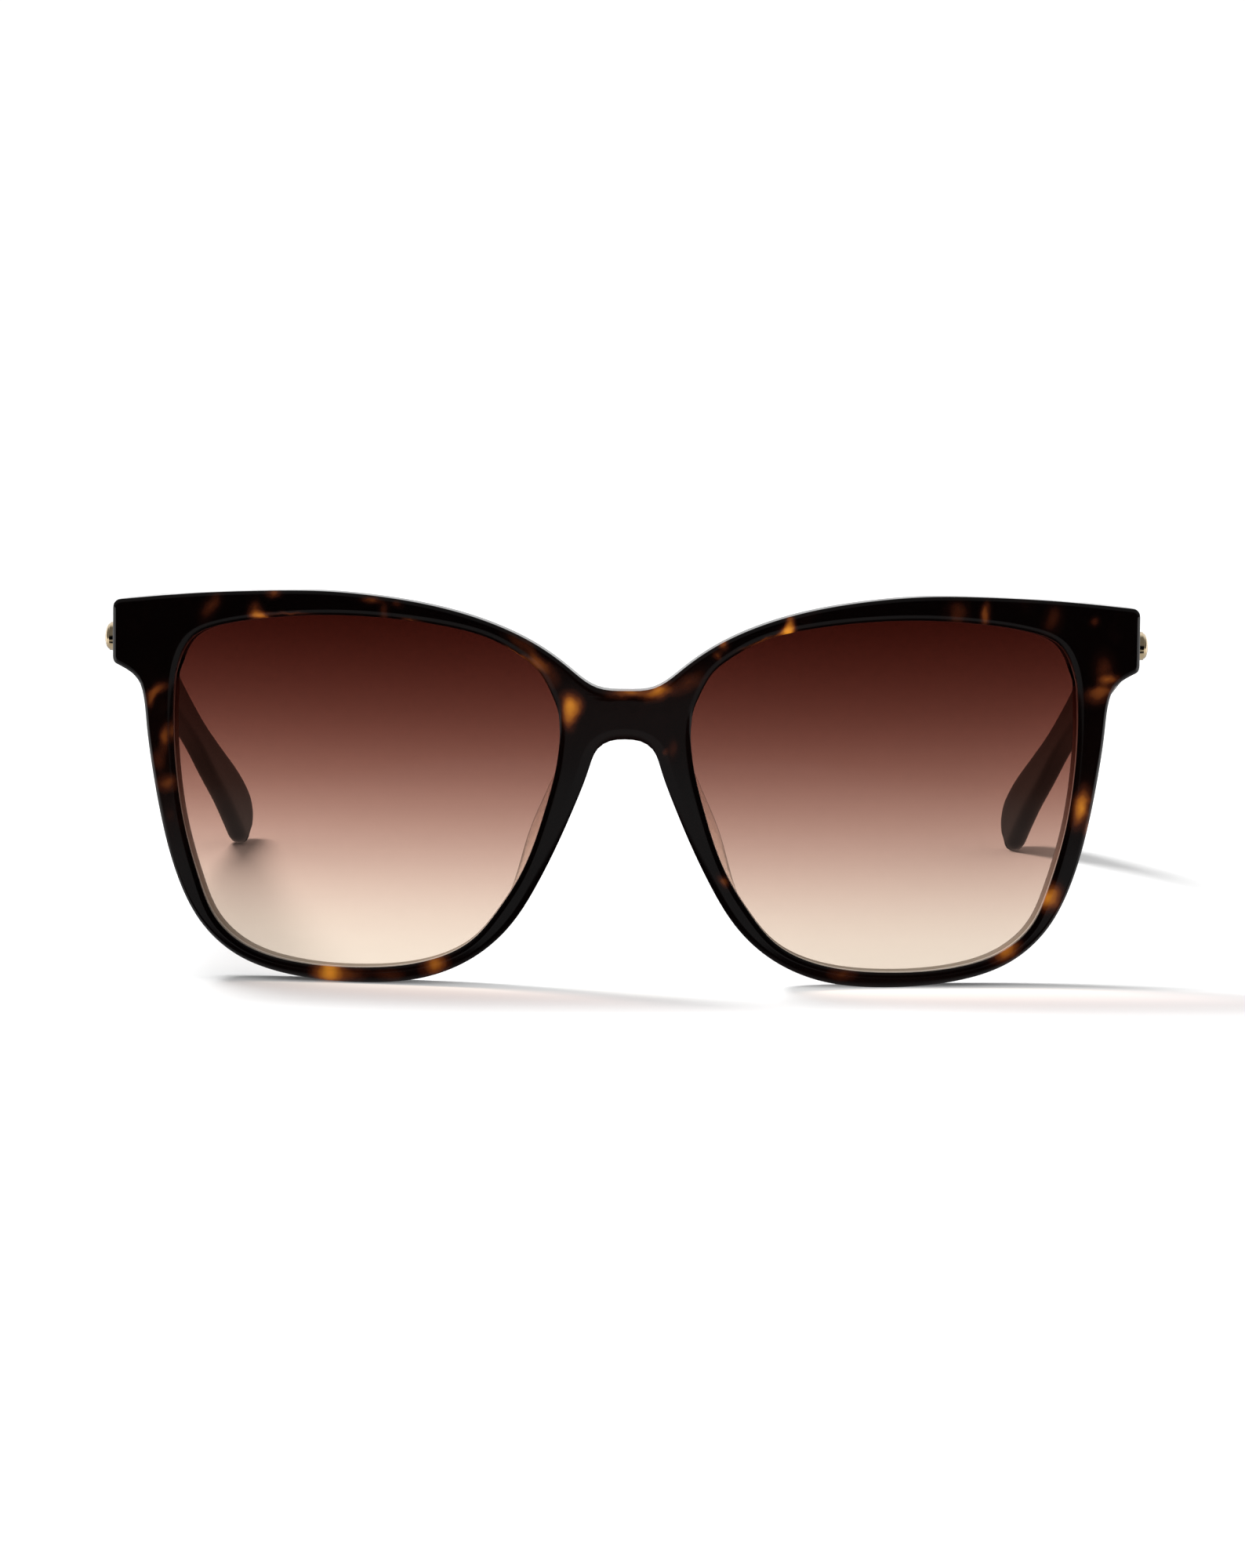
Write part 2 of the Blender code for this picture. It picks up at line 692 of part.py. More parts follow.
def core_line(start_y, end_y, rows):
    """Points along the middle of the temple."""
    sections = [(upper + lower) / 2 for upper, lower in temple_sections()]
    ys = [middle[0] for middle in sections]
    zs = [middle[1] for middle in sections]
    points = []
    for y in np.linspace(start_y, end_y, rows):
        x = temple_inner_x(y) + 0.5 * temple_thickness(y)
        points.append((x, y, float(np.interp(y, ys, zs, left=zs[0] + (ys[0] - y) * 0.3))))
    return points


def rod_shape(line, radius, sides=8):
    """A rod whose sections stand upright across Y."""
    turns = [math.tau * i / sides for i in range(sides)]
    loops = []
    for x, y, z in line:
        loops.append([(x + radius * math.cos(a), y, z + radius * math.sin(a)) for a in turns])
    return capped(loops)


def stud_shape():
    """An oval dome with a thin rim, turned as a round and then stretched."""
    steps = 5
    profile = [(0.0, 0.0), (0.94, 0.0), (1.0, 0.12), (1.0, STUD_RIM), (STUD_DOME, STUD_RIM)]
    for step in range(1, steps + 1):
        angle = math.radians(90) * step / steps
        rise = (STUD_PROUD - STUD_RIM) * math.sin(angle)
        profile.append((STUD_DOME * math.cos(angle), STUD_RIM + rise))
    shape = bmesh.new()
    verts = [shape.verts.new((0.0, radius, x)) for radius, x in profile]
    edges = [shape.edges.new(pair) for pair in zip(verts, verts[1:])]
    bmesh.ops.spin(shape, geom=verts + edges, axis=(0, 0, 1), cent=(0, 0, 0), angle=math.tau, steps=24)
    bmesh.ops.remove_doubles(shape, verts=shape.verts, dist=0.001)
    bmesh.ops.recalc_face_normals(shape, faces=shape.faces)
    stretch = Matrix.Diagonal((STUD_HIGH / 2, STUD_LONG / 2, 1.0, 1.0))
    turn = Matrix.Rotation(math.radians(90), 4, "Y")
    seat = Matrix.Translation((TEMPLE_OUTER_X + STUD_GAP, STUD_Y, STUD_Z))
    bmesh.ops.transform(shape, matrix=seat @ turn @ stretch, verts=shape.verts)
    return shape


def make_temple(side_name, side, body):
    temple = new_object("temple_" + side_name, temple_shape(), side, body, TORTOISE)
    low, high = temple_plate()
    low = [value - LEAF_FIT for value in low]
    high = [value + LEAF_FIT for value in high]
    pocket = new_object("recess_" + side_name, box_shape(low, high), side, body, None)
    boolean(temple, pocket, "DIFFERENCE")

    start_y, end_y = CORE_ENDS
    wire = rod_shape(core_line(start_y, end_y, 12), CORE_RADIUS)
    new_object("core_wire_" + side_name, wire, side, body, HINGE_STEEL)
    room = 2 * CORE_FIT
    bore = rod_shape(core_line(start_y - CORE_RADIUS - room, end_y + room, 12), CORE_RADIUS + CORE_FIT)
    boolean(temple, new_object("core_bore_" + side_name, bore, side, body, None), "DIFFERENCE")

    name = "temple_stud_" + side_name
    stud = new_object(name, stud_shape(), side, body, GOLD)
    face = TEMPLE_OUTER_X
    for number, direction in enumerate((-1, 1)):
        y = STUD_Y + direction * STUD_PIN_SPACING / 2
        end = face - STUD_PIN_LENGTH
        pin = cylinder_shape(y, STUD_Z, end, face + STUD_GAP + STUD_PIN_FIT, STUD_PIN_RADIUS, "X")
        bore = STUD_PIN_RADIUS + STUD_PIN_FIT
        hole = cylinder_shape(y, STUD_Z, end - STUD_PIN_FIT, face + STUD_PIN_LENGTH, bore, "X")
        boolean(stud, new_object(f"{name}_pin_{number}", pin, side, body, None), "UNION")
        boolean(temple, new_object(f"{name}_hole_{number}", hole, side, body, None), "DIFFERENCE")


clear_scene()
parts = new_collection("cat_eye_sunglasses")
cutters = new_collection("cutters")
front_body = new_empty("front_body", 0.0, 0.0)
make_front(front_body)
for side_name, side in SIDES.items():
    temple_body = new_empty("fold_axis_" + side_name, side * PIN_X, PIN_Y)
    new_object("lens_" + side_name, lens_shape(), side, front_body, LENS_TINT)
    new_object("nose_pad_" + side_name, pad_shape(), side, front_body, CRYSTAL)
    make_hinge(side_name, side, front_body, temple_body)
    make_temple(side_name, side, temple_body)
cutters.hide_render = True
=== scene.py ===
import math

import bmesh
import bpy
import numpy as np
from mathutils import Matrix, Vector


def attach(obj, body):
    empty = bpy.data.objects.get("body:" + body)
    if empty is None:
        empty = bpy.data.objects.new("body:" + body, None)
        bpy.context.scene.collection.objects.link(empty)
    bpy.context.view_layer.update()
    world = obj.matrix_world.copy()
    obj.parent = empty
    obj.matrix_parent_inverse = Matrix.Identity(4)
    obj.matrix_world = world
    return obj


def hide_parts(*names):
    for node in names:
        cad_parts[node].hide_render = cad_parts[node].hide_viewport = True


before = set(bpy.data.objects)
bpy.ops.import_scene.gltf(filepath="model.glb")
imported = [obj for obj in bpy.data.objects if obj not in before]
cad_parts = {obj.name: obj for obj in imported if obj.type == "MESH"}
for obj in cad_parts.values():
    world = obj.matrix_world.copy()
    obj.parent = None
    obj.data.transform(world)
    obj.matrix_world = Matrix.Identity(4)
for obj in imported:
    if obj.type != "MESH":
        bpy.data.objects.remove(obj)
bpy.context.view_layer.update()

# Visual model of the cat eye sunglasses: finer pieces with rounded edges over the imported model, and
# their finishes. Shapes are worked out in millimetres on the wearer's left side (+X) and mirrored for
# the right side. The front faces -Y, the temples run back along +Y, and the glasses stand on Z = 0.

MM = 0.001
SIDES = {"left": 1, "right": -1}

# Dimensions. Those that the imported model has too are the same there.

BRIDGE_Y = -69.83
WRAP_RADIUS = 300.0
RISE_RADIUS = 700.0
MID_HEIGHT = 27.0
LEAN = math.tan(math.radians(1.2))
SHEET = 4.2
BRIDGE_EXTRA = 0.7
BRIDGE_HALF = 11.0

# Rows round one rim: outer edge x and z, lens opening x and z, and how wide the outer bevel is.
BROW = [
    (0.0, 42.2, 10.4, 41.6, 1.1),
    (4.0, 42.6, 11.3, 43.4, 0.8),
    (8.0, 45.3, 12.5, 45.1, 0.5),
    (12.4, 48.4, 14.6, 46.8, 0.5),
    (17.5, 50.9, 18.2, 48.9, 0.5),
    (25.5, 53.4, 25.2, 50.9, 0.5),
    (34.5, 54.9, 34.0, 51.95, 0.5),
    (43.0, 55.5, 42.5, 52.15, 0.5),
    (52.0, 55.3, 50.5, 51.55, 0.5),
    (61.0, 54.7, 57.5, 50.3, 0.5),
    (71.55, 53.5, 61.55, 48.4, 0.5),
]
UNDERSIDE = [
    (72.15, 44.25, 63.7, 44.0, 0.5),
    (70.85, 43.6, 64.0, 42.2, 0.5),
    (69.35, 42.4, 64.1, 40.7, 0.5),
    (68.6, 40.6, 64.15, 38.8, 0.5),
    (68.0, 36.0, 64.1, 35.0, 0.5),
    (67.2, 30.0, 63.75, 30.0, 0.5),
    (65.7, 22.0, 62.55, 22.0, 0.5),
    (63.3, 13.8, 60.25, 13.7, 0.5),
    (60.25, 8.05, 58.1, 8.75, 0.5),
    (54.95, 3.35, 53.75, 4.85, 0.5),
    (48.1, 0.95, 47.7, 2.85, 0.5),
    (37.0, 0.0, 37.0, 2.15, 0.5),
    (27.6, 1.1, 28.2, 3.25, 0.5),
    (19.75, 5.0, 21.5, 6.45, 0.6),
    (15.7, 9.05, 17.8, 10.8, 0.8),
    (12.2, 14.7, 14.9, 15.4, 1.0),
    (9.4, 20.4, 12.7, 20.5, 1.1),
    (7.0, 26.0, 11.0, 26.0, 1.2),
    (5.0, 31.4, 9.6, 31.8, 1.3),
    (3.85, 34.0, 9.3, 34.2, 1.3),
    (2.15, 35.1, 9.2, 35.8, 1.3),
    (0.0, 35.35, 9.25, 37.2, 1.3),
]
OPENING_AT_BRIDGE = (9.55, 39.4)
END_X = 72.75
TOP_CORNER = (END_X, 53.35)
TOP_CORNER_FOOT = (END_X, 52.2)
LOW_CORNER = (END_X, 44.5)
LOW_CORNER_HEAD = (END_X, 45.4)
JOINT_Y = 14.4
END_STEP_X = (63.4, 64.6)
END_STEP_Z = (41.0, 44.0)

LENS_CENTRE = (36.6, 27.3)
LENS_RADIUS = 160.0
LENS_DEPTH = 0.7
LENS_HALF = 1.0
GROOVE_DEPTH = 0.9
GROOVE_HALF = 1.25
GROOVE_FLOOR = 0.25
LENS_INSET = 0.05
RIM_FRONT_BEVEL = 0.65
RIM_BACK_BEVEL = 1.0
EDGE_DEEP = 0.45
EDGE_BACK_SHARE = 0.5
FACE_MARGIN = 0.25
LENS_TONGUE = 0.6
LENS_TONGUE_HALF = 0.2

PIN_X = 66.35
PIN_Y = JOINT_Y + 1.35
KNUCKLE_RADIUS = 1.2
PIN_HOLE = 0.62
PIN_RADIUS = 0.55
STACK_LOW = 45.3
FRONT_KNUCKLE = 1.2
TEMPLE_KNUCKLE = 1.1
KNUCKLE_GAP = 0.1
LEAF_FIT = 0.2
PLATE_THICK = 1.0
FRONT_PLATE_X = (64.7, 70.4)
FRONT_PLATE_Z = (45.2, 51.6)
TEMPLE_PLATE_Z = (46.2, 50.4)
TEMPLE_PLATE_LONG = 7.6
TEMPLE_PLATE_DEEP = 0.9
FRONT_WEB = ((PIN_X - 1.0, JOINT_Y - 0.5), (PIN_X + 1.0, PIN_Y))
TEMPLE_WEB = ((PIN_X - 0.7, PIN_Y + 0.15), (PIN_X + 1.2, PIN_Y + 2.2))
WEB_GAP = 0.02
POINT_CHAMFER = 0.15
HEAD_GAP = 0.1
# The screw head's section: radius, and height above its underside.
HEAD_SECTION = [(0.93, 0.0), (0.98, 0.04), (1.0, 0.1), (1.0, 0.33), (0.97, 0.4), (0.9, 0.46)]
HEAD_SECTION += [(0.78, 0.49), (0.6, 0.5), (0.0, 0.5)]
SLOT_DEEP = 0.25
SLOT_HALF = 0.15

BUTT_Y = JOINT_Y + 0.25
# Rows along a temple: upper edge y and z, lower edge y and z.
TEMPLE_ROWS = [
    (BUTT_Y, 52.6, BUTT_Y, 45.0),
    (36.0, 46.1, 34.3, 39.9),
    (55.0, 40.1, 53.3, 34.5),
    (74.0, 34.1, 72.4, 28.8),
    (90.0, 28.3, 88.3, 23.9),
    (103.0, 23.2, 101.2, 18.8),
    (112.0, 19.8, 109.4, 14.7),
    (120.0, 16.7, 116.3, 11.1),
    (128.0, 13.3, 122.3, 7.8),
    (134.5, 9.8, 127.3, 4.6),
    (138.2, 6.5, 131.0, 2.1),
    (139.0, 3.7, 133.4, 0.6),
    (138.3, 1.9, 135.2, 0.0),
]
TEMPLE_OUTER_X = 72.55
TEMPLE_THICK = 4.7
TIP_THICK = 3.0
THIN_Y = (20.0, 80.0)
TURN_IN_Y = (22.0, 28.0)
TURN_IN_SLOPE = 0.055
BEND_FROM_Y = 80.0
BEND_RATE = 0.00115
CORE_RADIUS = 0.6
CORE_FIT = 0.2
CORE_BORE = (BUTT_Y - 0.7, 122.5)
CORE_SLOPE = 0.3

STUD_Y = 21.0
STUD_Z = 46.9
STUD_LONG = 8.0
STUD_HIGH = 4.0
STUD_PROUD = 1.9
STUD_RIM = 1.2
STUD_DOME = 0.9
STUD_STEP = 0.03
STUD_GAP = 0.1
STUD_PIN_SPACING = 4.0
STUD_PIN_RADIUS = 0.45
STUD_PIN_LENGTH = 1.0
STUD_PIN_FIT = 0.15

# Rows up a nose pad: z, root x, lens-side x, nose-side x, and how far it stands off the rim.
PAD_ROWS = [
    (12.6, 15.4, 16.2, 14.8, 1.0),
    (15.0, 14.0, 15.3, 13.2, 3.0),
    (18.5, 12.2, 14.3, 11.2, 4.4),
    (22.5, 10.3, 13.0, 9.2, 4.8),
    (26.5, 8.7, 11.3, 7.6, 4.2),
    (29.3, 7.9, 10.1, 7.2, 2.8),
    (31.2, 8.0, 9.2, 7.7, 1.0),
]
PAD_GAP = 0.2
PAD_ROOT_EXTRA = 0.3
# A pad's section, as shares of its width from the root or from the nose side, and of its stand.
PAD_LENS_SIDE = [(0.55, 0.0), (0.9, 0.35), (1.0, 0.75), (0.85, 1.0)]
PAD_NOSE_SIDE = [(0.55, 1.02), (0.1, 0.6)]
PAD_CAP = 0.35

# How finely the pieces are built.
STEP = 0.9
BRIDGE_STEPS = 8
CORNER_STEPS = 5
SIDE_STEPS = 6
FACE_STRIPS = 3
LENS_RINGS = 14
TEMPLE_SPAN_STEPS = 8
TEMPLE_ACROSS = 4
ROUND_SIDES = 64
STUD_SIDES = 96
STUD_DOME_STEPS = 14
PAD_SECTIONS = 40
PAD_AROUND = 36
PAD_CAP_STEPS = 3
CORE_SECTIONS = 40
CORE_SIDES = 12
EDGE_ROUND = 0.8
TIP_ROUND = 1.45
TIP_ROUND_Y = (95.0, 132.0)
EDGE_STEPS = 5


# Mesh helpers.


def smooth_step(value, low, high):
    fraction = min(max((value - low) / (high - low), 0.0), 1.0)
    return fraction * fraction * (3 - 2 * fraction)


def natural_spline(knots):
    """A smooth curve through the knots, as a function of the knot's number."""
    points = np.array(knots, float)
    lengths = np.linalg.norm(np.diff(points, axis=0), axis=1)
    count = len(points)
    system = np.eye(count)
    right = np.zeros_like(points)
    for i in range(1, count - 1):
        before, after = lengths[i - 1], lengths[i]
        system[i, i - 1 : i + 2] = before, 2 * (before + after), after
        right[i] = 6 * ((points[i + 1] - points[i]) / after - (points[i] - points[i - 1]) / before)
    bends = np.linalg.solve(system, right)

    def at(number):
        i = min(int(number), count - 2)
        far = number - i
        near = 1 - far
        sag = (near**3 - near) * bends[i] + (far**3 - far) * bends[i + 1]
        return near * points[i] + far * points[i + 1] + lengths[i] ** 2 / 6 * sag

    return at


def facing_out(shape):
    bmesh.ops.recalc_face_normals(shape, faces=shape.faces)
    return shape


def moved(shape, matrix):
    bmesh.ops.transform(shape, matrix=matrix, verts=shape.verts)
    return shape


def lofted(loops, closed=False, skip=()):
    """Faces between loops of matching points. skip holds (loop, point) places that stay open."""
    shape = bmesh.new()
    rings = [[shape.verts.new(point) for point in loop] for loop in loops]
    count = len(rings[0])
    pairs = list(zip(rings, rings[1:]))
    if closed:
        pairs.append((rings[-1], rings[0]))
    for number, (near, far) in enumerate(pairs):
        for i in range(count):
            if (number, i) in skip:
                continue
            j = (i + 1) % count
            shape.faces.new((near[i], near[j], far[j], far[i]))
    return shape, rings


def capped(loops):
    """A loft whose two end loops are closed by a face each."""
    shape, rings = lofted(loops)
    shape.faces.new(rings[0])
    shape.faces.new(reversed(rings[-1]))
    return facing_out(shape)


def box_shape(low, high, rounding=0.0):
    shape = bmesh.new()
    bmesh.ops.create_cube(shape, size=1.0)
    size = [b - a for a, b in zip(low, high)]
    middle = [(a + b) / 2 for a, b in zip(low, high)]
    moved(shape, Matrix.Translation(middle) @ Matrix.Diagonal((*size, 1.0)))
    if rounding:
        bmesh.ops.bevel(shape, geom=shape.edges, offset=rounding, segments=2, profile=0.5, affect="EDGES")
    return shape


def turned_shape(profile, steps):
    """A closed profile of (radius, height) points, turned about Z."""
    shape = bmesh.new()
    verts = [shape.verts.new((radius, 0.0, z)) for radius, z in profile]
    edges = [shape.edges.new(pair) for pair in zip(verts, verts[1:])]
    bmesh.ops.spin(
        shape, geom=verts + edges, axis=(0, 0, 1), cent=(0, 0, 0), angle=math.tau, steps=steps
    )
    bmesh.ops.remove_doubles(shape, verts=shape.verts, dist=0.0005)
    return facing_out(shape)


def cylinder_shape(radius, low, high, chamfer=0.0):
    """An upright cylinder on the Z axis, with or without small chamfers."""
    side = [(radius, low), (radius, high)]
    if chamfer:
        side = [(radius - chamfer, low), (radius, low + chamfer)]
        side += [(radius, high - chamfer), (radius - chamfer, high)]
    return turned_shape([(0.0, low), *side, (0.0, high)], ROUND_SIDES)


def scratch_object(shape, side=1):
    """An object of a shape in millimetres, placed in the frame and mirrored for the -X side."""
    moved(shape, Matrix.Translation((0, BRIDGE_Y, 0)))
    if side < 0:
        moved(shape, Matrix.Scale(-1, 4, (1, 0, 0)))
        bmesh.ops.reverse_faces(shape, faces=shape.faces)
    moved(shape, Matrix.Scale(MM, 4))
    return linked(shape, "shape")


def linked(shape, name):
    """Makes an object of a shape in metres."""
    mesh = bpy.data.meshes.new(name)
    shape.to_mesh(mesh)
    shape.free()
    obj = bpy.data.objects.new(name, mesh)
    bpy.context.scene.collection.objects.link(obj)
    return obj


def combine(obj, others, operation):
    """Applies a Boolean with each of the other objects, and removes them."""
    for other in others:
        modifier = obj.modifiers.new("boolean", "BOOLEAN")
        modifier.operation = operation
        modifier.solver = "EXACT"
        modifier.object = other
        apply_modifiers(obj)
        bpy.data.objects.remove(other, do_unlink=True)


def apply_modifiers(obj):
    graph = bpy.context.evaluated_depsgraph_get()
    graph.update()
    mesh = bpy.data.meshes.new_from_object(obj.evaluated_get(graph))
    obj.modifiers.clear()
    obj.data = mesh


def finished(obj, name, body, material, stands_for, sharp=40.0):
    """Names a piece, smooths its shading up to an angle, gives it its finish, and rides it on its body."""
    obj.name = name
    obj.data.name = name
    obj.data.shade_smooth()
    obj.data.set_sharp_from_angle(angle=math.radians(sharp))
    obj.data.materials.clear()
    obj.data.materials.append(material)
    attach(obj, body)
    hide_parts(*stands_for)


# The bent sheet that the front is cut from.


def sheet_y(x, z):
    return x * x / (2 * WRAP_RADIUS) + (z - MID_HEIGHT) ** 2 / (2 * RISE_RADIUS) + LEAN * z


def endpiece(x, z):
    return smooth_step(x, *END_STEP_X) * smooth_step(z, *END_STEP_Z)


def in_sheet(x, z, depth):
    """The point at a depth behind the front face at x, z."""
    sideways = -x / WRAP_RADIUS * (1 - endpiece(x, z))
    upwards = -((z - MID_HEIGHT) / RISE_RADIUS + LEAN)
    return (x + sideways * depth, sheet_y(x, z) + depth, z + upwards * depth)


def back_depth(x, z):
    bridge = BRIDGE_EXTRA * (1 - smooth_step(x, 0.0, BRIDGE_HALF))
    depth = SHEET + bridge
    return depth + endpiece(x, z) * (JOINT_Y - sheet_y(x, z) - depth)


def lens_depth(x, z):
    """How far the middle of the lens lies behind the front face."""
    centre_x, centre_z = LENS_CENTRE
    east = x - centre_x
    up = z - centre_z
    dish = (east * east + up * up) / (2 * LENS_RADIUS)
    bend = east * east / (2 * WRAP_RADIUS) + up * up / (2 * RISE_RADIUS)
    return LENS_DEPTH + dish - bend


def run_point(start, corner, end, fraction):
    """A point on a straight run or, where there is a corner, on a quadratic arc."""
    near = 1 - fraction
    if corner is None:
        return near * np.array(start) + fraction * np.array(end)
    start, corner, end = (np.array(point) for point in (start, corner, end))
    return near * near * start + 2 * near * fraction * corner + fraction * fraction * end


def rim_rows():
    """Matching points round one rim: outer edge, lens opening, bevel width, and where the bridge begins."""
    mirrored = [(-x, z) for x, z, *_ in BROW[2:0:-1]]
    brow = natural_spline(mirrored + [row[:2] for row in BROW])
    mirrored = [(-x, z) for x, z, *_ in UNDERSIDE[-2:-4:-1]]
    underside = natural_spline([row[:2] for row in UNDERSIDE] + mirrored)
    rows = BROW + UNDERSIDE
    openings = [row[2:4] for row in rows] + [OPENING_AT_BRIDGE]
    opening = natural_spline(openings[-3:] + openings + openings[:3])
    outer, inner, bevel = [], [], []

    def add(point, number, width):
        outer.append(np.array(point))
        inner.append(opening(number + 3))
        bevel.append(width)

    def add_spans(curve, first, knots, shift):
        for knot, (here, there) in enumerate(zip(knots, knots[1:])):
            pieces = max(2, round(math.dist(here[:2], there[:2]) / STEP))
            for piece in range(pieces):
                fraction = piece / pieces
                width = here[4] * (1 - fraction) + there[4] * fraction
                add(curve(knot + shift + fraction), first + knot + fraction, width)

    def add_run(steps, start, corner, end, number, span, width):
        for step in range(steps):
            fraction = step / steps
            place = run_point(start, corner, end, fraction)
            add(place, number + span * fraction, width)

    last = len(BROW) - 1
    end = len(rows) - 1
    brow_end, brow_width = BROW[-1][:2], BROW[-1][4]
    foot, head = TOP_CORNER_FOOT, LOW_CORNER_HEAD
    add_spans(brow, 0, BROW, 2)
    add_run(CORNER_STEPS, brow_end, TOP_CORNER, foot, last, 0.25, brow_width)
    add_run(SIDE_STEPS, foot, None, head, last + 0.25, 0.5, brow_width)
    add_run(CORNER_STEPS, head, LOW_CORNER, UNDERSIDE[0][:2], last + 0.75, 0.25, brow_width)
    add_spans(underside, last + 1, UNDERSIDE, 0)
    edge_count = len(outer) + 1
    add_run(BRIDGE_STEPS, UNDERSIDE[-1][:2], None, BROW[0][:2], end, 2.0, UNDERSIDE[-1][4])
    return np.array(outer), np.array(inner), np.array(bevel), edge_count


def outward(points):
    """Unit normals of a closed loop that runs anticlockwise seen from the front."""
    along = np.roll(points, -1, axis=0) - np.roll(points, 1, axis=0)
    normals = np.stack([along[:, 1], -along[:, 0]], axis=1)
    return normals / np.linalg.norm(normals, axis=1)[:, None]


# Pieces.


def front_half():
    """The half of the front at +X, open at the middle plane, with small roundings along every edge."""
    outer, inner, bevel, edge_count = rim_rows()
    count = len(outer)
    outer_normals = -outward(outer)
    outer_normals[0] = (0, 1)
    outer_normals[edge_count - 1] = (0, -1)
    inner_normals = -outward(inner)

    def edge(bevels, extra=0.0):
        points = outer - outer_normals * (bevel * bevels + extra)[:, None]
        low, high = points[edge_count - 1], points[0]
        for i in range(edge_count, count):
            share = (i - edge_count + 1) / (count - edge_count + 1)
            points[i] = low * (1 - share) + high * share
        return points

    def opening(offset):
        return inner + inner_normals * offset

    def place(points, depth, more=0.0):
        return [in_sheet(x, z, depth(x, z) + more) for x, z in points]

    def between(near, far, depth):
        shares = [strip / (FACE_STRIPS + 1) for strip in range(1, FACE_STRIPS + 1)]
        return [place(near * (1 - share) + far * share, depth) for share in shares]

    def back_bevel_foot(x, z):
        return (lens_depth(x, z) + GROOVE_HALF) * 0.9 + back_depth(x, z) * 0.1

    def flat(x, z):
        return 0.0

    # Loops round the section, from the groove to the front, out, back, and in to the groove again. Loops
    # close together round an edge off, so their small offsets, in millimetres, are that edge's radius.
    face_edge = edge(1.0, FACE_MARGIN)
    face_opening = opening(RIM_FRONT_BEVEL + FACE_MARGIN)
    back_edge = edge(EDGE_BACK_SHARE, FACE_MARGIN)
    back_opening = opening(RIM_BACK_BEVEL + FACE_MARGIN)
    loops = [
        place(opening(GROOVE_DEPTH), lens_depth, -GROOVE_FLOOR),
        place(opening(0.08), lens_depth, -GROOVE_HALF + 0.09),
        place(opening(0.0), lens_depth, -GROOVE_HALF - 0.02),
        place(opening(0.0), flat, 0.37),
        place(opening(0.07), flat, 0.29),
        place(opening(RIM_FRONT_BEVEL - 0.08), flat, 0.03),
        place(opening(RIM_FRONT_BEVEL + 0.05), flat),
        place(face_opening, flat),
    ]
    loops += between(face_opening, face_edge, flat)
    wall_from = len(loops) + 1
    loops += [
        place(face_edge, flat),
        place(edge(1.0, 0.06), flat),
        place(edge(0.86), flat, EDGE_DEEP * 0.12),
        place(edge(0.14), flat, EDGE_DEEP * 0.86),
        place(edge(0.0), flat, EDGE_DEEP + 0.08),
        place(edge(0.0), flat, EDGE_DEEP + 0.35),
        place(edge(0.0), back_depth, -EDGE_DEEP - 0.3),
        place(edge(0.0), back_depth, -EDGE_DEEP - 0.05),
        place(edge(0.08), back_depth, -EDGE_DEEP * 0.8),
        place(edge(0.42), back_depth, -EDGE_DEEP * 0.12),
        place(edge(EDGE_BACK_SHARE, 0.06), back_depth),
        place(back_edge, back_depth),
    ]
    wall_to = len(loops) - 2
    loops += between(back_edge, back_opening, back_depth)
    loops += [
        place(back_opening, back_depth),
        place(opening(RIM_BACK_BEVEL + 0.05), back_depth),
        place(opening(RIM_BACK_BEVEL - 0.07), back_depth, -0.08),
        place(opening(0.12), back_bevel_foot),
        place(opening(0.0), lens_depth, GROOVE_HALF + 0.03),
        place(opening(0.08), lens_depth, GROOVE_HALF - 0.09),
        place(opening(GROOVE_DEPTH), lens_depth, GROOVE_FLOOR),
    ]
    strips = range(wall_from - 1, wall_to + 1)
    skip = {(strip, i) for strip in strips for i in range(edge_count - 1, count)}
    shape, _ = lofted(loops, closed=True, skip=skip)
    return facing_out(shape)


def make_front(material):
    front = scratch_object(front_half())
    mirror = front.modifiers.new("mirror", "MIRROR")
    mirror.merge_threshold = 0.00005
    apply_modifiers(front)
    pockets = []
    for side in SIDES.values():
        low, high = with_room(front_plate())
        high[1] = JOINT_Y + PLATE_THICK
        pockets.append(scratch_object(box_shape(low, high), side))
    combine(front, pockets, "DIFFERENCE")
    finished(front, "front_frame", "front", material, ["front"])


def lens_shape():
    _, inner, _, _ = rim_rows()
    normals = -outward(inner)
    centre = np.array(LENS_CENTRE)
    edge = inner - normals * LENS_INSET

    def place(points, offset):
        return [in_sheet(x, z, lens_depth(x, z) + offset) for x, z in points]

    def face(offset):
        """Rings from near the centre out to the edge."""
        rings = range(1, LENS_RINGS + 1)
        return [place(centre + (edge - centre) * ring / LENS_RINGS, offset) for ring in rings]

    tongue = inner + normals * LENS_TONGUE
    loops = face(-LENS_HALF) + [place(tongue, -LENS_TONGUE_HALF), place(tongue, LENS_TONGUE_HALF)]
    loops += face(LENS_HALF)[::-1]
    shape, rings = lofted(loops)
    for ring, offset in ((rings[0], -LENS_HALF), (rings[-1], LENS_HALF)):
        pole = shape.verts.new(place([centre], offset)[0])
        for i, vertex in enumerate(ring):
            shape.faces.new((vertex, ring[i - 1], pole))
    return facing_out(shape)


def back_rise(x, root_x, z):
    return max(0.0, back_depth(x, z) + sheet_y(x, z) - back_depth(root_x, z) - sheet_y(root_x, z))


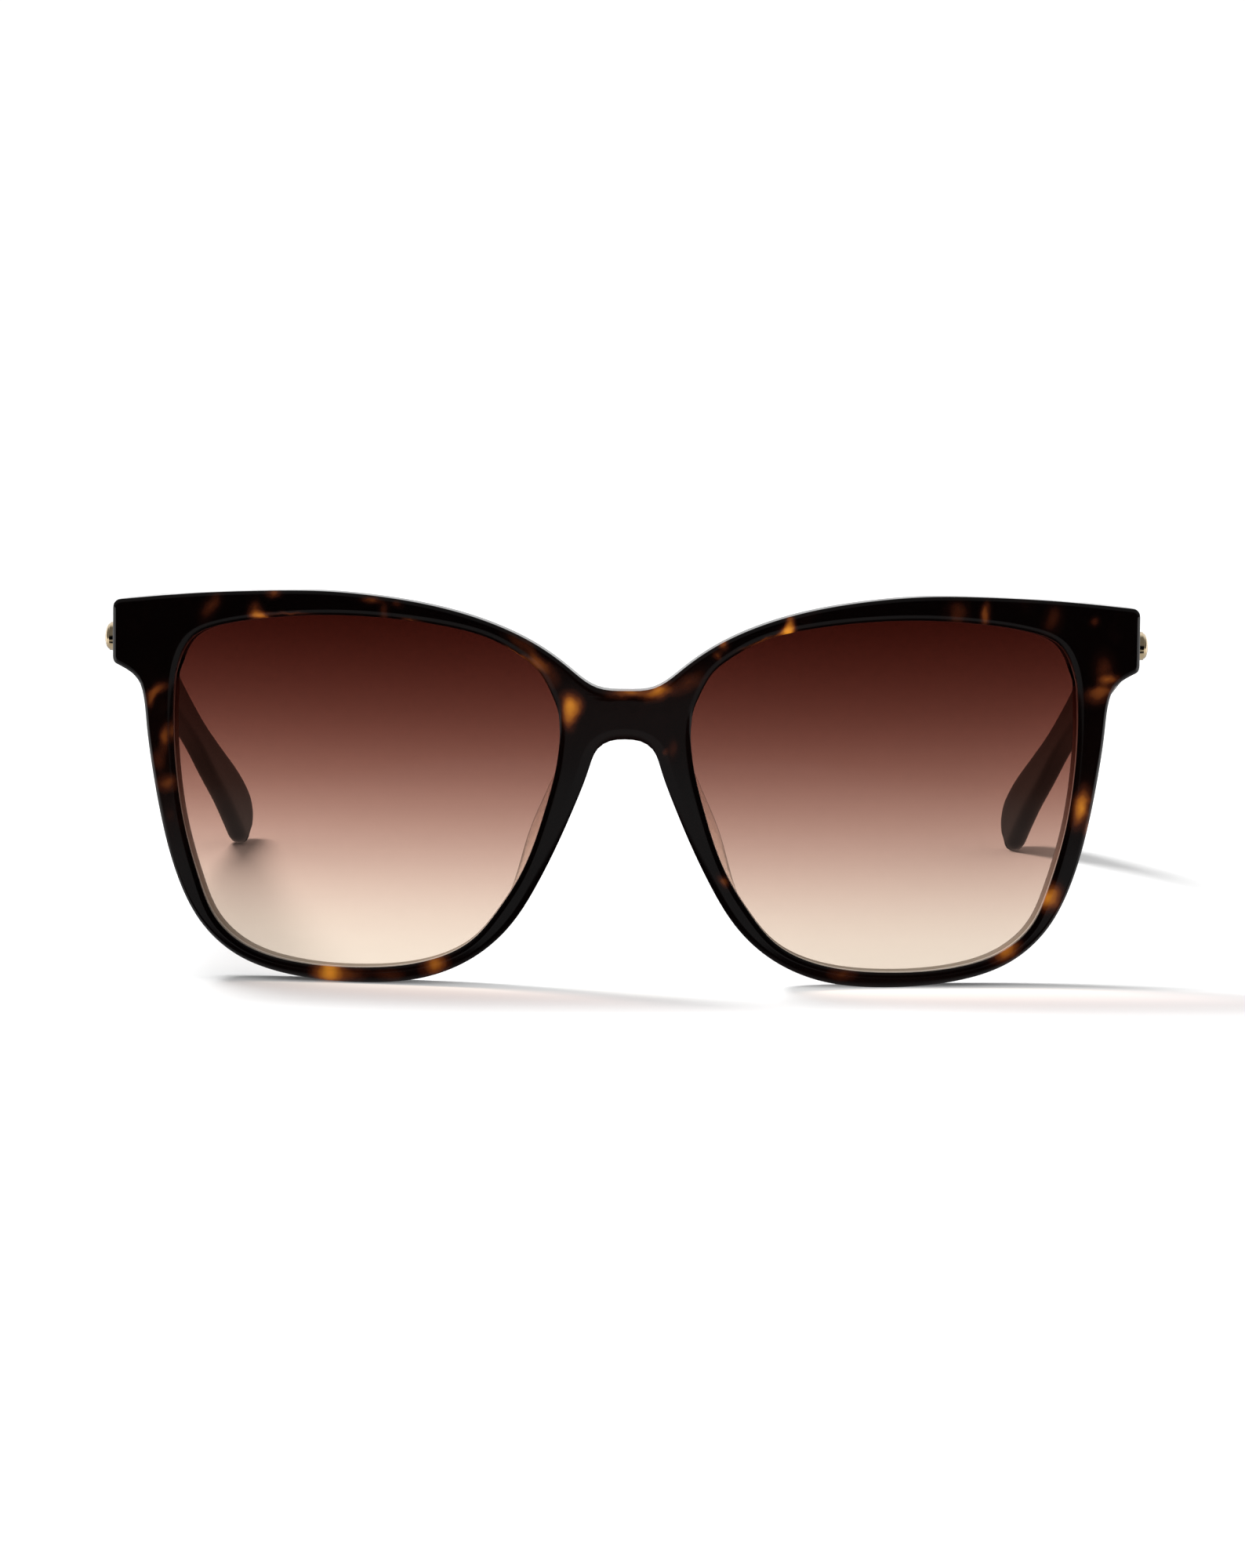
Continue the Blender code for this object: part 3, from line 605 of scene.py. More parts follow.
def pad_shape():
    """A clear pad behind the nose side of the rim, with rounded sides and ends."""
    rows = natural_spline(PAD_ROWS)
    loops = []
    for number in range(PAD_SECTIONS + 1):
        z, root_x, lens_x, nose_x, stand = rows((len(PAD_ROWS) - 1) * number / PAD_SECTIONS)
        width = lens_x - root_x
        back = back_depth(root_x, z) + sheet_y(root_x, z)
        outline = [(root_x - PAD_ROOT_EXTRA, 0.0)]
        outline += [(root_x + across * width, out * stand) for across, out in PAD_LENS_SIDE]
        outline += [(nose_x + across * width, out * stand) for across, out in PAD_NOSE_SIDE]
        ring = natural_spline(outline[-3:] + outline + outline[:3])
        loop = []
        for turn in range(PAD_AROUND):
            x, depth = ring(3 + len(outline) * turn / PAD_AROUND)
            loop.append((x, back + PAD_GAP + back_rise(x, root_x, z) + max(depth, 0.0), z))
        loops.append(np.array(loop))

    def caps(loop, inward):
        """Loops that close in over an end, from the widest."""
        middle = loop.mean(axis=0)
        rings = []
        for step in range(1, PAD_CAP_STEPS + 1):
            angle = math.radians(90) * step / (PAD_CAP_STEPS + 1)
            cap = middle + (loop - middle) * math.cos(angle)
            cap[:, 2] -= inward * PAD_CAP * math.sin(angle)
            rings.append(cap)
        return rings

    return capped(caps(loops[0], 1)[::-1] + loops + caps(loops[-1], -1))


def stack_heights():
    """Lower and upper ends of the five knuckles: front, temple, front, temple, front."""
    heights = []
    z = STACK_LOW
    for height in (FRONT_KNUCKLE, TEMPLE_KNUCKLE, FRONT_KNUCKLE, TEMPLE_KNUCKLE, FRONT_KNUCKLE):
        heights.append((z, z + height))
        z += height + KNUCKLE_GAP
    return heights


def front_plate():
    low = [FRONT_PLATE_X[0], JOINT_Y - PLATE_THICK, FRONT_PLATE_Z[0]]
    return low, [FRONT_PLATE_X[1], JOINT_Y, FRONT_PLATE_Z[1]]


def temple_plate():
    near = PIN_Y + PLATE_THICK
    low = [PIN_X + PLATE_THICK, near, TEMPLE_PLATE_Z[0]]
    return low, [temple_inner_x(PIN_Y) + TEMPLE_PLATE_DEEP, near + TEMPLE_PLATE_LONG, TEMPLE_PLATE_Z[1]]


def with_room(plate):
    """The pocket for a hinge plate, a little larger all round."""
    low, high = plate
    return [value - LEAF_FIT for value in low], [value + LEAF_FIT for value in high]


def on_pin(shape):
    return moved(shape, Matrix.Translation((PIN_X, PIN_Y, 0)))


def make_leaf(name, side, body, plate, knuckles, web, material):
    """A hinge leaf: a plate joined by webs to its knuckles, drilled for the pin."""
    web_low, web_high = web
    leaf = scratch_object(box_shape(*plate, rounding=0.1), side)
    for z_low, z_high in knuckles:
        web = box_shape((*web_low, z_low + WEB_GAP), (*web_high, z_high - WEB_GAP), rounding=0.05)
        barrel = on_pin(cylinder_shape(KNUCKLE_RADIUS, z_low, z_high, 0.08))
        combine(leaf, [scratch_object(web, side), scratch_object(barrel, side)], "UNION")
    hole = on_pin(cylinder_shape(PIN_HOLE, STACK_LOW - 2, STACK_LOW + 9))
    combine(leaf, [scratch_object(hole, side)], "DIFFERENCE")
    finished(leaf, name + "_detail", body, material, [name], sharp=30.0)


def make_screw(name, side, material):
    foot = STACK_LOW + HEAD_GAP
    head = stack_heights()[-1][1] + HEAD_GAP
    profile = [(0.0, foot), (PIN_RADIUS - POINT_CHAMFER, foot), (PIN_RADIUS, foot + POINT_CHAMFER)]
    profile += [(PIN_RADIUS, head)] + [(radius, head + height) for radius, height in HEAD_SECTION]
    screw = scratch_object(on_pin(turned_shape(profile, ROUND_SIDES)), side)
    slot_floor = head + HEAD_SECTION[-1][1] - SLOT_DEEP
    low = (PIN_X - 2, PIN_Y - SLOT_HALF, slot_floor)
    slot = box_shape(low, (PIN_X + 2, PIN_Y + SLOT_HALF, slot_floor + 2))
    combine(screw, [scratch_object(slot, side)], "DIFFERENCE")
    finished(screw, name + "_detail", "front", material, [name], sharp=30.0)


def make_hinge(side_name, side, material):
    heights = stack_heights()
    name = "front_hinge_leaf_" + side_name
    make_leaf(name, side, "front", front_plate(), heights[0::2], FRONT_WEB, material)
    name = "temple_hinge_leaf_" + side_name
    body = "temple_" + side_name
    make_leaf(name, side, body, temple_plate(), heights[1::2], TEMPLE_WEB, material)
    make_screw("hinge_screw_" + side_name, side, material)


def temple_outer_x(y):
    """The outer face: square to the front at the joint, then leaning in, then bending in towards the tip."""
    start, end = TURN_IN_Y
    turning = min(max(y - start, 0.0), end - start)
    leaning = turning * turning / (2 * (end - start)) + max(y - end, 0.0)
    bending = max(y - BEND_FROM_Y, 0.0)
    return TEMPLE_OUTER_X - TURN_IN_SLOPE * leaning - BEND_RATE * bending * bending


def temple_thickness(y):
    share = smooth_step(y, *THIN_Y)
    return TEMPLE_THICK * (1 - share) + TIP_THICK * share


def temple_inner_x(y):
    return temple_outer_x(y) - temple_thickness(y)


def temple_edges():
    """Upper and lower edge points along the temple, from the butt to the tip."""
    upper = natural_spline([row[:2] for row in TEMPLE_ROWS])
    lower = natural_spline([row[2:] for row in TEMPLE_ROWS])
    count = (len(TEMPLE_ROWS) - 1) * TEMPLE_SPAN_STEPS + 1
    numbers = [i / TEMPLE_SPAN_STEPS for i in range(count)]
    return [upper(number) for number in numbers], [lower(number) for number in numbers]


def temple_shape():
    """The side view's outline, rounded over to both faces, with matched rows across each face."""
    upper, lower = temple_edges()
    across = TEMPLE_ACROSS
    tip = [upper[-1] * (1 - i / across) + lower[-1] * i / across for i in range(1, across)]
    butt = [lower[0] * (1 - i / across) + upper[0] * i / across for i in range(1, across)]
    outline = np.array(upper + tip + lower[::-1] + butt)
    count = len(outline)
    normals = outward(outline)
    butt_from = len(upper) + len(tip) + len(lower) - 1

    def ring(inset_share, share, step_share):
        points = []
        for i, (point, normal) in enumerate(zip(outline, normals)):
            radius = EDGE_ROUND + (TIP_ROUND - EDGE_ROUND) * smooth_step(point[0], *TIP_ROUND_Y)
            inset, step = inset_share * radius, step_share * radius
            here = point + normal * inset
            if here[0] < BUTT_Y or i == 0 or i >= butt_from:
                shift = normal[1] * inset if abs(normal[1]) > 0.3 else 0.0
                here = np.array((BUTT_Y, point[1] + shift))
            y, z = here[0], max(here[1], 0.0)
            points.append((temple_inner_x(y) + temple_thickness(y) * share + step, y, z))
        return points

    angles = [math.radians(90) * i / EDGE_STEPS for i in range(EDGE_STEPS + 1)]
    loops = [ring(1 - math.sin(angle), 0, 1 - math.cos(angle)) for angle in angles]
    loops += [ring(1 - math.sin(angle), 1, math.cos(angle) - 1) for angle in reversed(angles)]
    shape, rings = lofted(loops)
    for rim, face_x in ((rings[0], temple_inner_x), (rings[-1], temple_outer_x)):
        rows = []
        for number in range(len(upper)):
            top = rim[number]
            low = rim[butt_from - number]
            if number == 0:
                middle = [rim[count - i] for i in range(1, across)]
            elif number == len(upper) - 1:
                middle = [rim[number + i] for i in range(1, across)]
            else:
                middle = []
                for i in range(1, across):
                    place = top.co.lerp(low.co, i / across)
                    middle.append(shape.verts.new((face_x(place.y), place.y, place.z)))
            rows.append([top, *middle, low])
        for near, far in zip(rows, rows[1:]):
            for i in range(across):
                shape.faces.new((near[i], near[i + 1], far[i + 1], far[i]))
    return facing_out(shape)


def core_bore():
    """A rod along the middle of the temple, whose sections stand upright across Y."""
    upper, lower = temple_edges()
    sections = [(top + low) / 2 for top, low in zip(upper, lower)]
    ys = [middle[0] for middle in sections]
    zs = [middle[1] for middle in sections]
    radius = CORE_RADIUS + CORE_FIT
    turns = [math.tau * i / CORE_SIDES for i in range(CORE_SIDES)]
    loops = []
    for y in np.linspace(*CORE_BORE, CORE_SECTIONS):
        x = temple_inner_x(y) + 0.5 * temple_thickness(y)
        z = float(np.interp(y, ys, zs, left=zs[0] + (ys[0] - y) * CORE_SLOPE))
        loops.append([(x + radius * math.cos(a), y, z + radius * math.sin(a)) for a in turns])
    return capped(loops)


def lay_along_x(shape, x, y, z):
    """Turns a shape made on the Z axis to stand out along +X from a place."""
    turn = Matrix.Rotation(math.radians(90), 4, "Y")
    return moved(shape, Matrix.Translation((x, y, z)) @ turn)


def stud_shape():
    """An oval dome with a thin stepped rim."""
    profile = [(0.0, 0.0), (0.93, 0.0), (0.97, 0.04), (1.0, 0.12), (1.0, STUD_RIM - 0.1)]
    profile += [(0.985, STUD_RIM - 0.03), (0.95, STUD_RIM), (0.915, STUD_RIM)]
    foot = STUD_RIM + STUD_STEP
    for step in range(STUD_DOME_STEPS + 1):
        angle = math.radians(90) * step / STUD_DOME_STEPS
        profile.append((STUD_DOME * math.cos(angle), foot + (STUD_PROUD - foot) * math.sin(angle)))
    shape = turned_shape(profile, STUD_SIDES)
    moved(shape, Matrix.Diagonal((STUD_HIGH / 2, STUD_LONG / 2, 1.0, 1.0)))
    return lay_along_x(shape, TEMPLE_OUTER_X + STUD_GAP, STUD_Y, STUD_Z)


def make_temple(side_name, side, acetate, gold):
    temple = scratch_object(temple_shape(), side)
    cutters = [box_shape(*with_room(temple_plate())), core_bore()]
    cutters = [scratch_object(shape, side) for shape in cutters]
    stud = scratch_object(stud_shape(), side)
    for direction in (-1, 1):
        y = STUD_Y + direction * STUD_PIN_SPACING / 2
        pin = cylinder_shape(STUD_PIN_RADIUS, 0.0, STUD_PIN_LENGTH + STUD_GAP + 0.3)
        lay_along_x(pin, TEMPLE_OUTER_X - STUD_PIN_LENGTH, y, STUD_Z)
        combine(stud, [scratch_object(pin, side)], "UNION")
        hole = cylinder_shape(STUD_PIN_RADIUS + STUD_PIN_FIT, 0.0, STUD_PIN_LENGTH + 1.2)
        lay_along_x(hole, TEMPLE_OUTER_X - STUD_PIN_LENGTH - 0.2, y, STUD_Z)
        cutters.append(scratch_object(hole, side))
    combine(temple, cutters, "DIFFERENCE")
    body = "temple_" + side_name
    finished(temple, "temple_arm_" + side_name, body, acetate, ["temple_" + side_name])
    stud_name = "temple_stud_" + side_name
    finished(stud, stud_name + "_detail", body, gold, [stud_name], sharp=50.0)


# Materials.


WHITE = (1.0, 1.0, 1.0, 1.0)
PATCH_REACH = 1.6
PATCH_DEPTH = 5.0
PATCH_WOBBLE = 1.1


class Nodes:
    """Short ways of adding nodes to a tree and joining them."""

    def __init__(self, tree):
        self.tree = tree

    def add(self, kind, inputs=None, **settings):
        node = self.tree.nodes.new(kind)
        for key, value in settings.items():
            setattr(node, key, value)
        for key, value in (inputs or {}).items():
            if isinstance(value, bpy.types.NodeSocket):
                self.tree.links.new(value, node.inputs[key])
            else:
                node.inputs[key].default_value = value
        return node

    def end(self, shader, kind="ShaderNodeOutputMaterial"):
        """Makes the tree's output from a shader node."""
        self.add(kind, {"Surface": shader.outputs[0]})

    def place(self):
        """Where a point lies, in metres."""
        return self.add("ShaderNodeTexCoord").outputs["Object"]

    def parts(self, vector):
        return self.add("ShaderNodeSeparateXYZ", {0: vector}).outputs

    def length(self, vector):
        return self.add("ShaderNodeVectorMath", {0: vector}, operation="LENGTH").outputs["Value"]

    def mix(self, share, first, second):
        inputs = {0: share, 1: first.outputs[0], 2: second.outputs[0]}
        return self.add("ShaderNodeMixShader", inputs)

    def math(self, operation, *values):
        return self.add("ShaderNodeMath", dict(enumerate(values)), operation=operation).outputs[0]

    def vector(self, operation, *values):
        return self.add("ShaderNodeVectorMath", dict(enumerate(values)), operation=operation).outputs[0]

    def between(self, value, low, high, to_low=0.0, to_high=1.0, smooth=True):
        inputs = {"Value": value, "From Min": low, "From Max": high, "To Min": to_low, "To Max": to_high}
        kind = "SMOOTHSTEP" if smooth else "LINEAR"
        return self.add("ShaderNodeMapRange", inputs, interpolation_type=kind).outputs["Result"]

    def noise(self, vector, scale, detail=2.0, roughness=0.5, output="Fac"):
        inputs = {"Vector": vector, "Scale": scale, "Detail": detail, "Roughness": roughness}
        return self.add("ShaderNodeTexNoise", inputs).outputs[output]

    def ramp(self, factor, stops):
        node = self.add("ShaderNodeValToRGB", {"Fac": factor})
        ramp = node.color_ramp
        while len(ramp.elements) < len(stops):
            ramp.elements.new(0.5)
        for element, (place, colour) in zip(ramp.elements, stops):
            element.position = place
            element.color = (*colour, 1.0)
        return node.outputs["Color"]


def emptied(owner):
    """The shader tree of a material, world or lamp, with nothing in it yet."""
    owner.use_nodes = True
    owner.node_tree.nodes.clear()
    return Nodes(owner.node_tree)


def new_material(name):
    material = bpy.data.materials.new(name)
    return material, emptied(material)


# Amber patches in the acetate, seen from the front: x and z of the middle, the two half-widths, how far
# the patch is turned in degrees, and its strength.
PATCHES = [
    (-51.7, 51.75, 1.7, 0.7, 0, 0.8),
    (-52.3, 52.8, 1.0, 1.5, 0, 0.5),
    (-47.5, 52.3, 3.6, 0.35, 0, 0.5),
    (-58.7, 53.0, 2.6, 1.1, 60, 0.47),
    (-49.7, 55.0, 1.3, 0.7, 0, 0.55),
    (-36.0, 54.4, 1.4, 0.7, -5, 0.55),
    (-32.3, 54.0, 1.0, 0.6, -10, 0.4),
    (-34.2, 52.8, 0.8, 1.8, 0, 0.4),
    (-30.4, 51.7, 1.8, 0.4, -10, 0.5),
    (-15.6, 47.4, 2.0, 0.45, -30, 0.75),
    (-12.6, 46.2, 2.2, 1.2, -45, 0.62),
    (-15.0, 49.0, 2.8, 0.9, -30, 0.42),
    (-7.5, 40.2, 1.6, 1.9, 20, 0.85),
    (-7.9, 38.7, 1.1, 2.4, 5, 0.7),
    (-10.6, 44.2, 1.5, 2.5, 30, 0.35),
    (-65.1, 34.3, 0.8, 2.0, -8, 0.6),
    (-64.0, 34.9, 0.5, 1.7, 0, 0.5),
    (-66.4, 40.9, 2.1, 0.9, 30, 0.6),
    (-67.3, 39.4, 0.8, 1.4, -20, 0.5),
    (-64.7, 27.6, 1.9, 1.3, 15, 0.5),
    (-66.0, 31.0, 1.2, 1.8, 0, 0.35),
    (-41.7, 1.3, 2.4, 2.8, 8, 1.0),
    (-38.5, 1.2, 2.5, 1.6, 0, 0.45),
    (-26.5, 2.9, 2.2, 2.0, 20, 0.8),
    (-33.0, 1.3, 2.5, 1.0, 0, 0.4),
    (0.6, 41.9, 3.2, 0.8, 0, 0.7),
    (4.7, 42.2, 2.3, 1.2, 25, 0.8),
    (9.0, 43.5, 3.0, 1.4, 35, 0.42),
    (6.7, 33.9, 0.9, 1.6, -10, 0.32),
    (5.6, 33.6, 0.4, 0.6, 0, 0.35),
    (13.6, 49.0, 0.9, 1.2, 20, 0.65),
    (12.8, 47.3, 0.8, 0.8, 0, 0.5),
    (18.9, 49.3, 4.2, 0.35, 22, 0.55),
    (22.6, 50.6, 1.5, 0.9, 10, 1.0),
    (22.9, 51.8, 0.8, 1.9, 0, 0.72),
    (46.6, 53.2, 1.6, 2.2, 0, 0.45),
    (50.6, 53.0, 0.8, 2.3, -12, 0.65),
    (60.2, 52.3, 1.4, 2.4, -20, 0.4),
    (66.1, 51.7, 0.8, 0.8, 40, 0.45),
    (67.6, 45.2, 1.6, 2.4, 0, 0.45),
    (68.4, 43.6, 1.8, 0.8, 12, 0.6),
    (67.5, 42.0, 2.4, 0.9, 6, 0.55),
    (66.4, 41.0, 2.2, 1.3, 0, 0.45),
    (64.6, 25.4, 1.5, 3.3, -12, 0.9),
    (66.2, 22.3, 1.0, 1.8, -12, 0.75),
    (60.3, 12.6, 2.0, 2.4, -30, 0.9),
    (54.3, 4.9, 2.8, 1.5, 30, 0.8),
    (14.0, 15.3, 0.8, 1.3, 30, 0.6),
    (31.1, 2.3, 2.4, 1.3, 0, 0.45),
    (0.0, 40.0, 17.0, 9.0, 0, 0.14),
    (-66.0, 27.0, 3.5, 14.0, 6, 0.16),
    (66.0, 27.0, 3.5, 14.0, -6, 0.08),
    (37.0, 1.5, 20.0, 3.0, 0, 0.12),
    (-37.0, 1.5, 20.0, 3.0, 0, 0.12),
]


def patch_group():
    """A node group that gives one soft-edged patch, laid over those before it."""
    group = bpy.data.node_groups.new("amber_patch", "ShaderNodeTree")
    for name in ("Place", "Middle", "Turn", "Narrowing"):
        group.interface.new_socket(name, in_out="INPUT", socket_type="NodeSocketVector")
    for name in ("Strength", "Before"):
        group.interface.new_socket(name, in_out="INPUT", socket_type="NodeSocketFloat")
    group.interface.new_socket("Value", in_out="OUTPUT", socket_type="NodeSocketFloat")
    nodes = Nodes(group)
    given = nodes.add("NodeGroupInput").outputs
    shifted = nodes.vector("SUBTRACT", given["Place"], given["Middle"])
    inputs = {"Vector": shifted, "Rotation": given["Turn"]}
    turned = nodes.add("ShaderNodeVectorRotate", inputs, rotation_type="EULER_XYZ").outputs[0]
    distance = nodes.length(nodes.vector("MULTIPLY", turned, given["Narrowing"]))
    height = nodes.between(distance, PATCH_REACH, 0.0)
    value = nodes.math("MULTIPLY", height, given["Strength"])
    both = nodes.math("MULTIPLY", value, given["Before"])
    value = nodes.math("SUBTRACT", nodes.math("ADD", value, given["Before"]), both)
    nodes.add("NodeGroupOutput", {"Value": value})
    return group


# The acetate's colour, from its dark ground to the heart of a patch.
AMBER = [
    (0.0, (0.0018, 0.0008, 0.0008)),
    (0.22, (0.0060, 0.0018, 0.0013)),
    (0.45, (0.036, 0.0080, 0.0032)),
    (0.65, (0.150, 0.038, 0.0075)),
    (0.82, (0.400, 0.125, 0.014)),
    (1.0, (0.820, 0.310, 0.026)),
]


def acetate_material(name, patches, background):
    """Dark tortoise acetate: listed amber patches over a fainter mottled ground, polished."""
    material, nodes = new_material(name)
    place = nodes.place()
    wobble = nodes.noise(place, 420.0, 2.0, 0.5, "Color")
    wobble = nodes.vector("SUBTRACT", wobble, (0.5, 0.5, 0.5))
    inputs = {0: wobble, "Scale": PATCH_WOBBLE * MM}
    wobble = nodes.add("ShaderNodeVectorMath", inputs, operation="SCALE").outputs[0]
    warped = nodes.vector("ADD", place, wobble)
    stretched = nodes.vector("MULTIPLY", warped, (1.0, 0.45, 0.8))
    mottle = nodes.noise(stretched, 95.0, 3.0, 0.55)
    blotch = nodes.between(mottle, 0.56, 0.74)
    finer = nodes.noise(stretched, 260.0, 2.0, 0.5)
    blotch = nodes.math("MULTIPLY", blotch, nodes.between(finer, 0.3, 0.6, 0.35, 1.0))
    value = nodes.math("MULTIPLY", blotch, background)
    group = patch_group() if patches else None
    for x, z, wide, high, turn, strength in patches:
        inputs = {
            "Place": warped,
            "Middle": (x * MM, BRIDGE_Y * MM + sheet_y(x, z) * MM, z * MM),
            "Turn": (0.0, math.radians(turn), 0.0),
            "Narrowing": (1 / (wide * MM), 1 / (PATCH_DEPTH * MM), 1 / (high * MM)),
            "Strength": strength,
            "Before": value,
        }
        value = nodes.add("ShaderNodeGroup", inputs, node_tree=group).outputs["Value"]
    colour = nodes.ramp(value, AMBER)
    polish = nodes.noise(place, 900.0, 3.0, 0.6)
    roughness = nodes.between(polish, 0.3, 0.7, 0.05, 0.11, smooth=False)
    ripple = nodes.noise(place, 160.0, 1.0, 0.4)
    bump = nodes.add("ShaderNodeBump", {"Height": ripple, "Strength": 0.04, "Distance": 0.0004}).outputs[0]
    inputs = {"Base Color": colour, "Roughness": roughness, "Normal": bump, "IOR": 1.49}
    nodes.end(nodes.add("ShaderNodeBsdfPrincipled", inputs))
    return material


def polished(nodes, clear, ior, roughness):
    """A clear shader under a glossy skin. Faces seen from inside the solid have no skin."""
    gloss = nodes.add("ShaderNodeBsdfGlossy", {"Color": WHITE, "Roughness": roughness})
    fresnel = nodes.add("ShaderNodeFresnel", {"IOR": ior}).outputs[0]
    backfacing = nodes.add("ShaderNodeNewGeometry").outputs["Backfacing"]
    share = nodes.math("MULTIPLY", fresnel, nodes.math("SUBTRACT", 1.0, backfacing))
    return nodes.mix(share, clear, gloss)


# The lens's dye, for red, green and blue: its density at the ground, and what it gains up to the top.
TINT_LOW = (0.28, 0.42, 0.6)
TINT_GAIN = (3.45, 5.3, 5.6)
TINT_POWER = 1.8
TINT_TOP = 52.0
TINT_STEPS = 16


def tint_at(share):
    """What one face of the lens lets through at a share of the dye's height. Light crosses two faces."""
    grown = share**TINT_POWER
    return tuple(math.exp(-(low + gain * grown) / 2) for low, gain in zip(TINT_LOW, TINT_GAIN))


def lens_material():
    """A tint that fades towards the bottom, polished, with a matt ground edge of the same dye."""
    material, nodes = new_material("gradient_lens_tint")
    height = nodes.parts(nodes.place())["Z"]
    share = nodes.between(height, 0.0, TINT_TOP * MM, smooth=False)
    shares = [step / TINT_STEPS for step in range(TINT_STEPS + 1)]
    tint = nodes.ramp(share, [(place, tint_at(place)) for place in shares])
    face = nodes.add("ShaderNodeBsdfTransparent", {"Color": tint})
    face = polished(nodes, face, 1.45, 0.02)
    kinds = {"vector_type": "NORMAL", "convert_from": "WORLD", "convert_to": "OBJECT"}
    square = nodes.add("ShaderNodeNewGeometry").outputs["True Normal"]
    square = nodes.add("ShaderNodeVectorTransform", {0: square}, **kinds).outputs[0]
    facing = nodes.math("ABSOLUTE", nodes.parts(square)["Y"])
    matt = nodes.add("ShaderNodeBsdfDiffuse", {"Color": tint})
    shining = nodes.add("ShaderNodeBsdfTranslucent", {"Color": tint})
    ground_edge = nodes.mix(0.5, matt, shining)
    both = nodes.mix(nodes.between(facing, 0.9, 0.8), face, ground_edge)
    nodes.end(both)
    return material


def clear_material():
    """Clear, faintly warm acetate with a polished skin. Painted shade darkens it where it is seen edge on,
    in place of the dark outline that refraction gives.
    """
    material, nodes = new_material("clear_pad_acetate")
    haze = nodes.noise(nodes.place(), 500.0, 2.0, 0.5)
    roughness = nodes.between(haze, 0.3, 0.7, 0.03, 0.08, smooth=False)
    middle = nodes.ramp(haze, [(0.0, (0.93, 0.90, 0.87)), (1.0, (0.97, 0.95, 0.92))])
    # Painted shade: the clear colour turns dark brown where the surface is seen edge on, standing in for the
    # dark outline that refraction gives.
    facing = nodes.add("ShaderNodeLayerWeight", {"Blend": 0.5}).outputs["Facing"]
    edge = nodes.between(facing, 0.72, 0.98)
    inputs = {0: edge, 6: middle, 7: (0.16, 0.11, 0.09, 1.0)}
    colour = nodes.add("ShaderNodeMix", inputs, data_type="RGBA").outputs[2]
    clear = nodes.add("ShaderNodeBsdfTransparent", {"Color": colour})
    nodes.end(polished(nodes, clear, 1.3, roughness))
    return material


def metal_material(name, dark, light, rough_low, rough_high, grain):
    """Metal with fine streaks, packed closer along an axis where grain is larger."""
    material, nodes = new_material(name)
    streaks = nodes.noise(nodes.vector("MULTIPLY", nodes.place(), grain), 1500.0, 3.0, 0.6)
    colour = nodes.ramp(streaks, [(0.25, dark), (0.75, light)])
    roughness = nodes.between(streaks, 0.3, 0.7, rough_low, rough_high, smooth=False)
    bump = nodes.add("ShaderNodeBump", {"Height": streaks, "Strength": 0.1, "Distance": 0.00005}).outputs[0]
    inputs = {"Base Color": colour, "Roughness": roughness, "Metallic": 1.0, "Normal": bump}
    nodes.end(nodes.add("ShaderNodeBsdfPrincipled", inputs))
    return material


# Studio.

CAMERA_BACK = 1050.0
CAMERA_HEIGHT = 177.7
CAMERA_ASIDE = 3.0
CAMERA_PITCH = 8.05
CAMERA_YAW = 0.181
CAMERA_ROLL = 0.54
SENSOR = 36.0
FOCAL_LENGTH = 173.15
FLOOR_SIZE = 14.0
FLOOR_GLOW = 0.5
SIDE_GLOW = 0.45
SHEEN_BEHIND = 0.4
SHEEN_FAR = 0.85
SHEEN_AHEAD = 0.2
SHEEN_BRIDGE = 0.12
SHEEN_ASIDE = 0.5
ROOM_LIGHT = 0.52
CEILING = 0.12
REAR_WALL = 0.62
BACKDROP = 1.1
LAMP_PLACE = (-130.0, 10.0, 217.0)
LAMP_RADIUS = 45.0
LAMP_STRENGTH = 45.0
# Where the floor's glows and sheens begin and reach their full strength, in metres from the middle.
AWAY = (0.13, 0.6)
SIDE_X = (0.05, 0.12)
FORE_Y = (-0.062, -0.068)
FORE_X = (-0.06, 0.03)
FORE_GLOW = 0.30
FOOT_Y = (-0.084, -0.070)
FOOT_GLOW = 0.12
BEHIND_Y = (-0.075, -0.055)
FAR_BEHIND_Y = (0.4, 1.2)
AHEAD_Y = (-0.085, -0.11)
FAR_AHEAD_Y = (-0.75, -0.3)
FARTHEST_Y = (-1.4, -0.9)
AHEAD_X = (0.22, 0.1)
ASIDE_Y = (-0.2, -0.12)
ASIDE_X = (0.1, 0.2)


def make_camera():
    data = bpy.data.cameras.new("camera")
    data.lens = FOCAL_LENGTH
    data.sensor_width = SENSOR
    data.sensor_fit = "AUTO"
    data.clip_start = 0.05
    data.clip_end = 60.0
    camera = bpy.data.objects.new("camera", data)
    turn = (
        Matrix.Rotation(math.radians(CAMERA_YAW), 4, "Z")
        @ Matrix.Rotation(math.radians(90 - CAMERA_PITCH), 4, "X")
        @ Matrix.Rotation(math.radians(CAMERA_ROLL), 4, "Z")
    )
    place = Vector((CAMERA_ASIDE, BRIDGE_Y - CAMERA_BACK, CAMERA_HEIGHT)) * MM
    camera.matrix_world = Matrix.Translation(place) @ turn
    bpy.context.scene.collection.objects.link(camera)
    bpy.context.scene.camera = camera


def fore_glow(nodes, x, y):
    """Fill light on the floor in front of the rims, stronger towards +X and close to where they stand."""
    across = nodes.between(x, *FORE_X, 0.0, FORE_GLOW)
    close = nodes.between(y, *FOOT_Y, 0.0, FOOT_GLOW)
    return nodes.math("MULTIPLY", nodes.between(y, *FORE_Y), nodes.math("ADD", across, close))


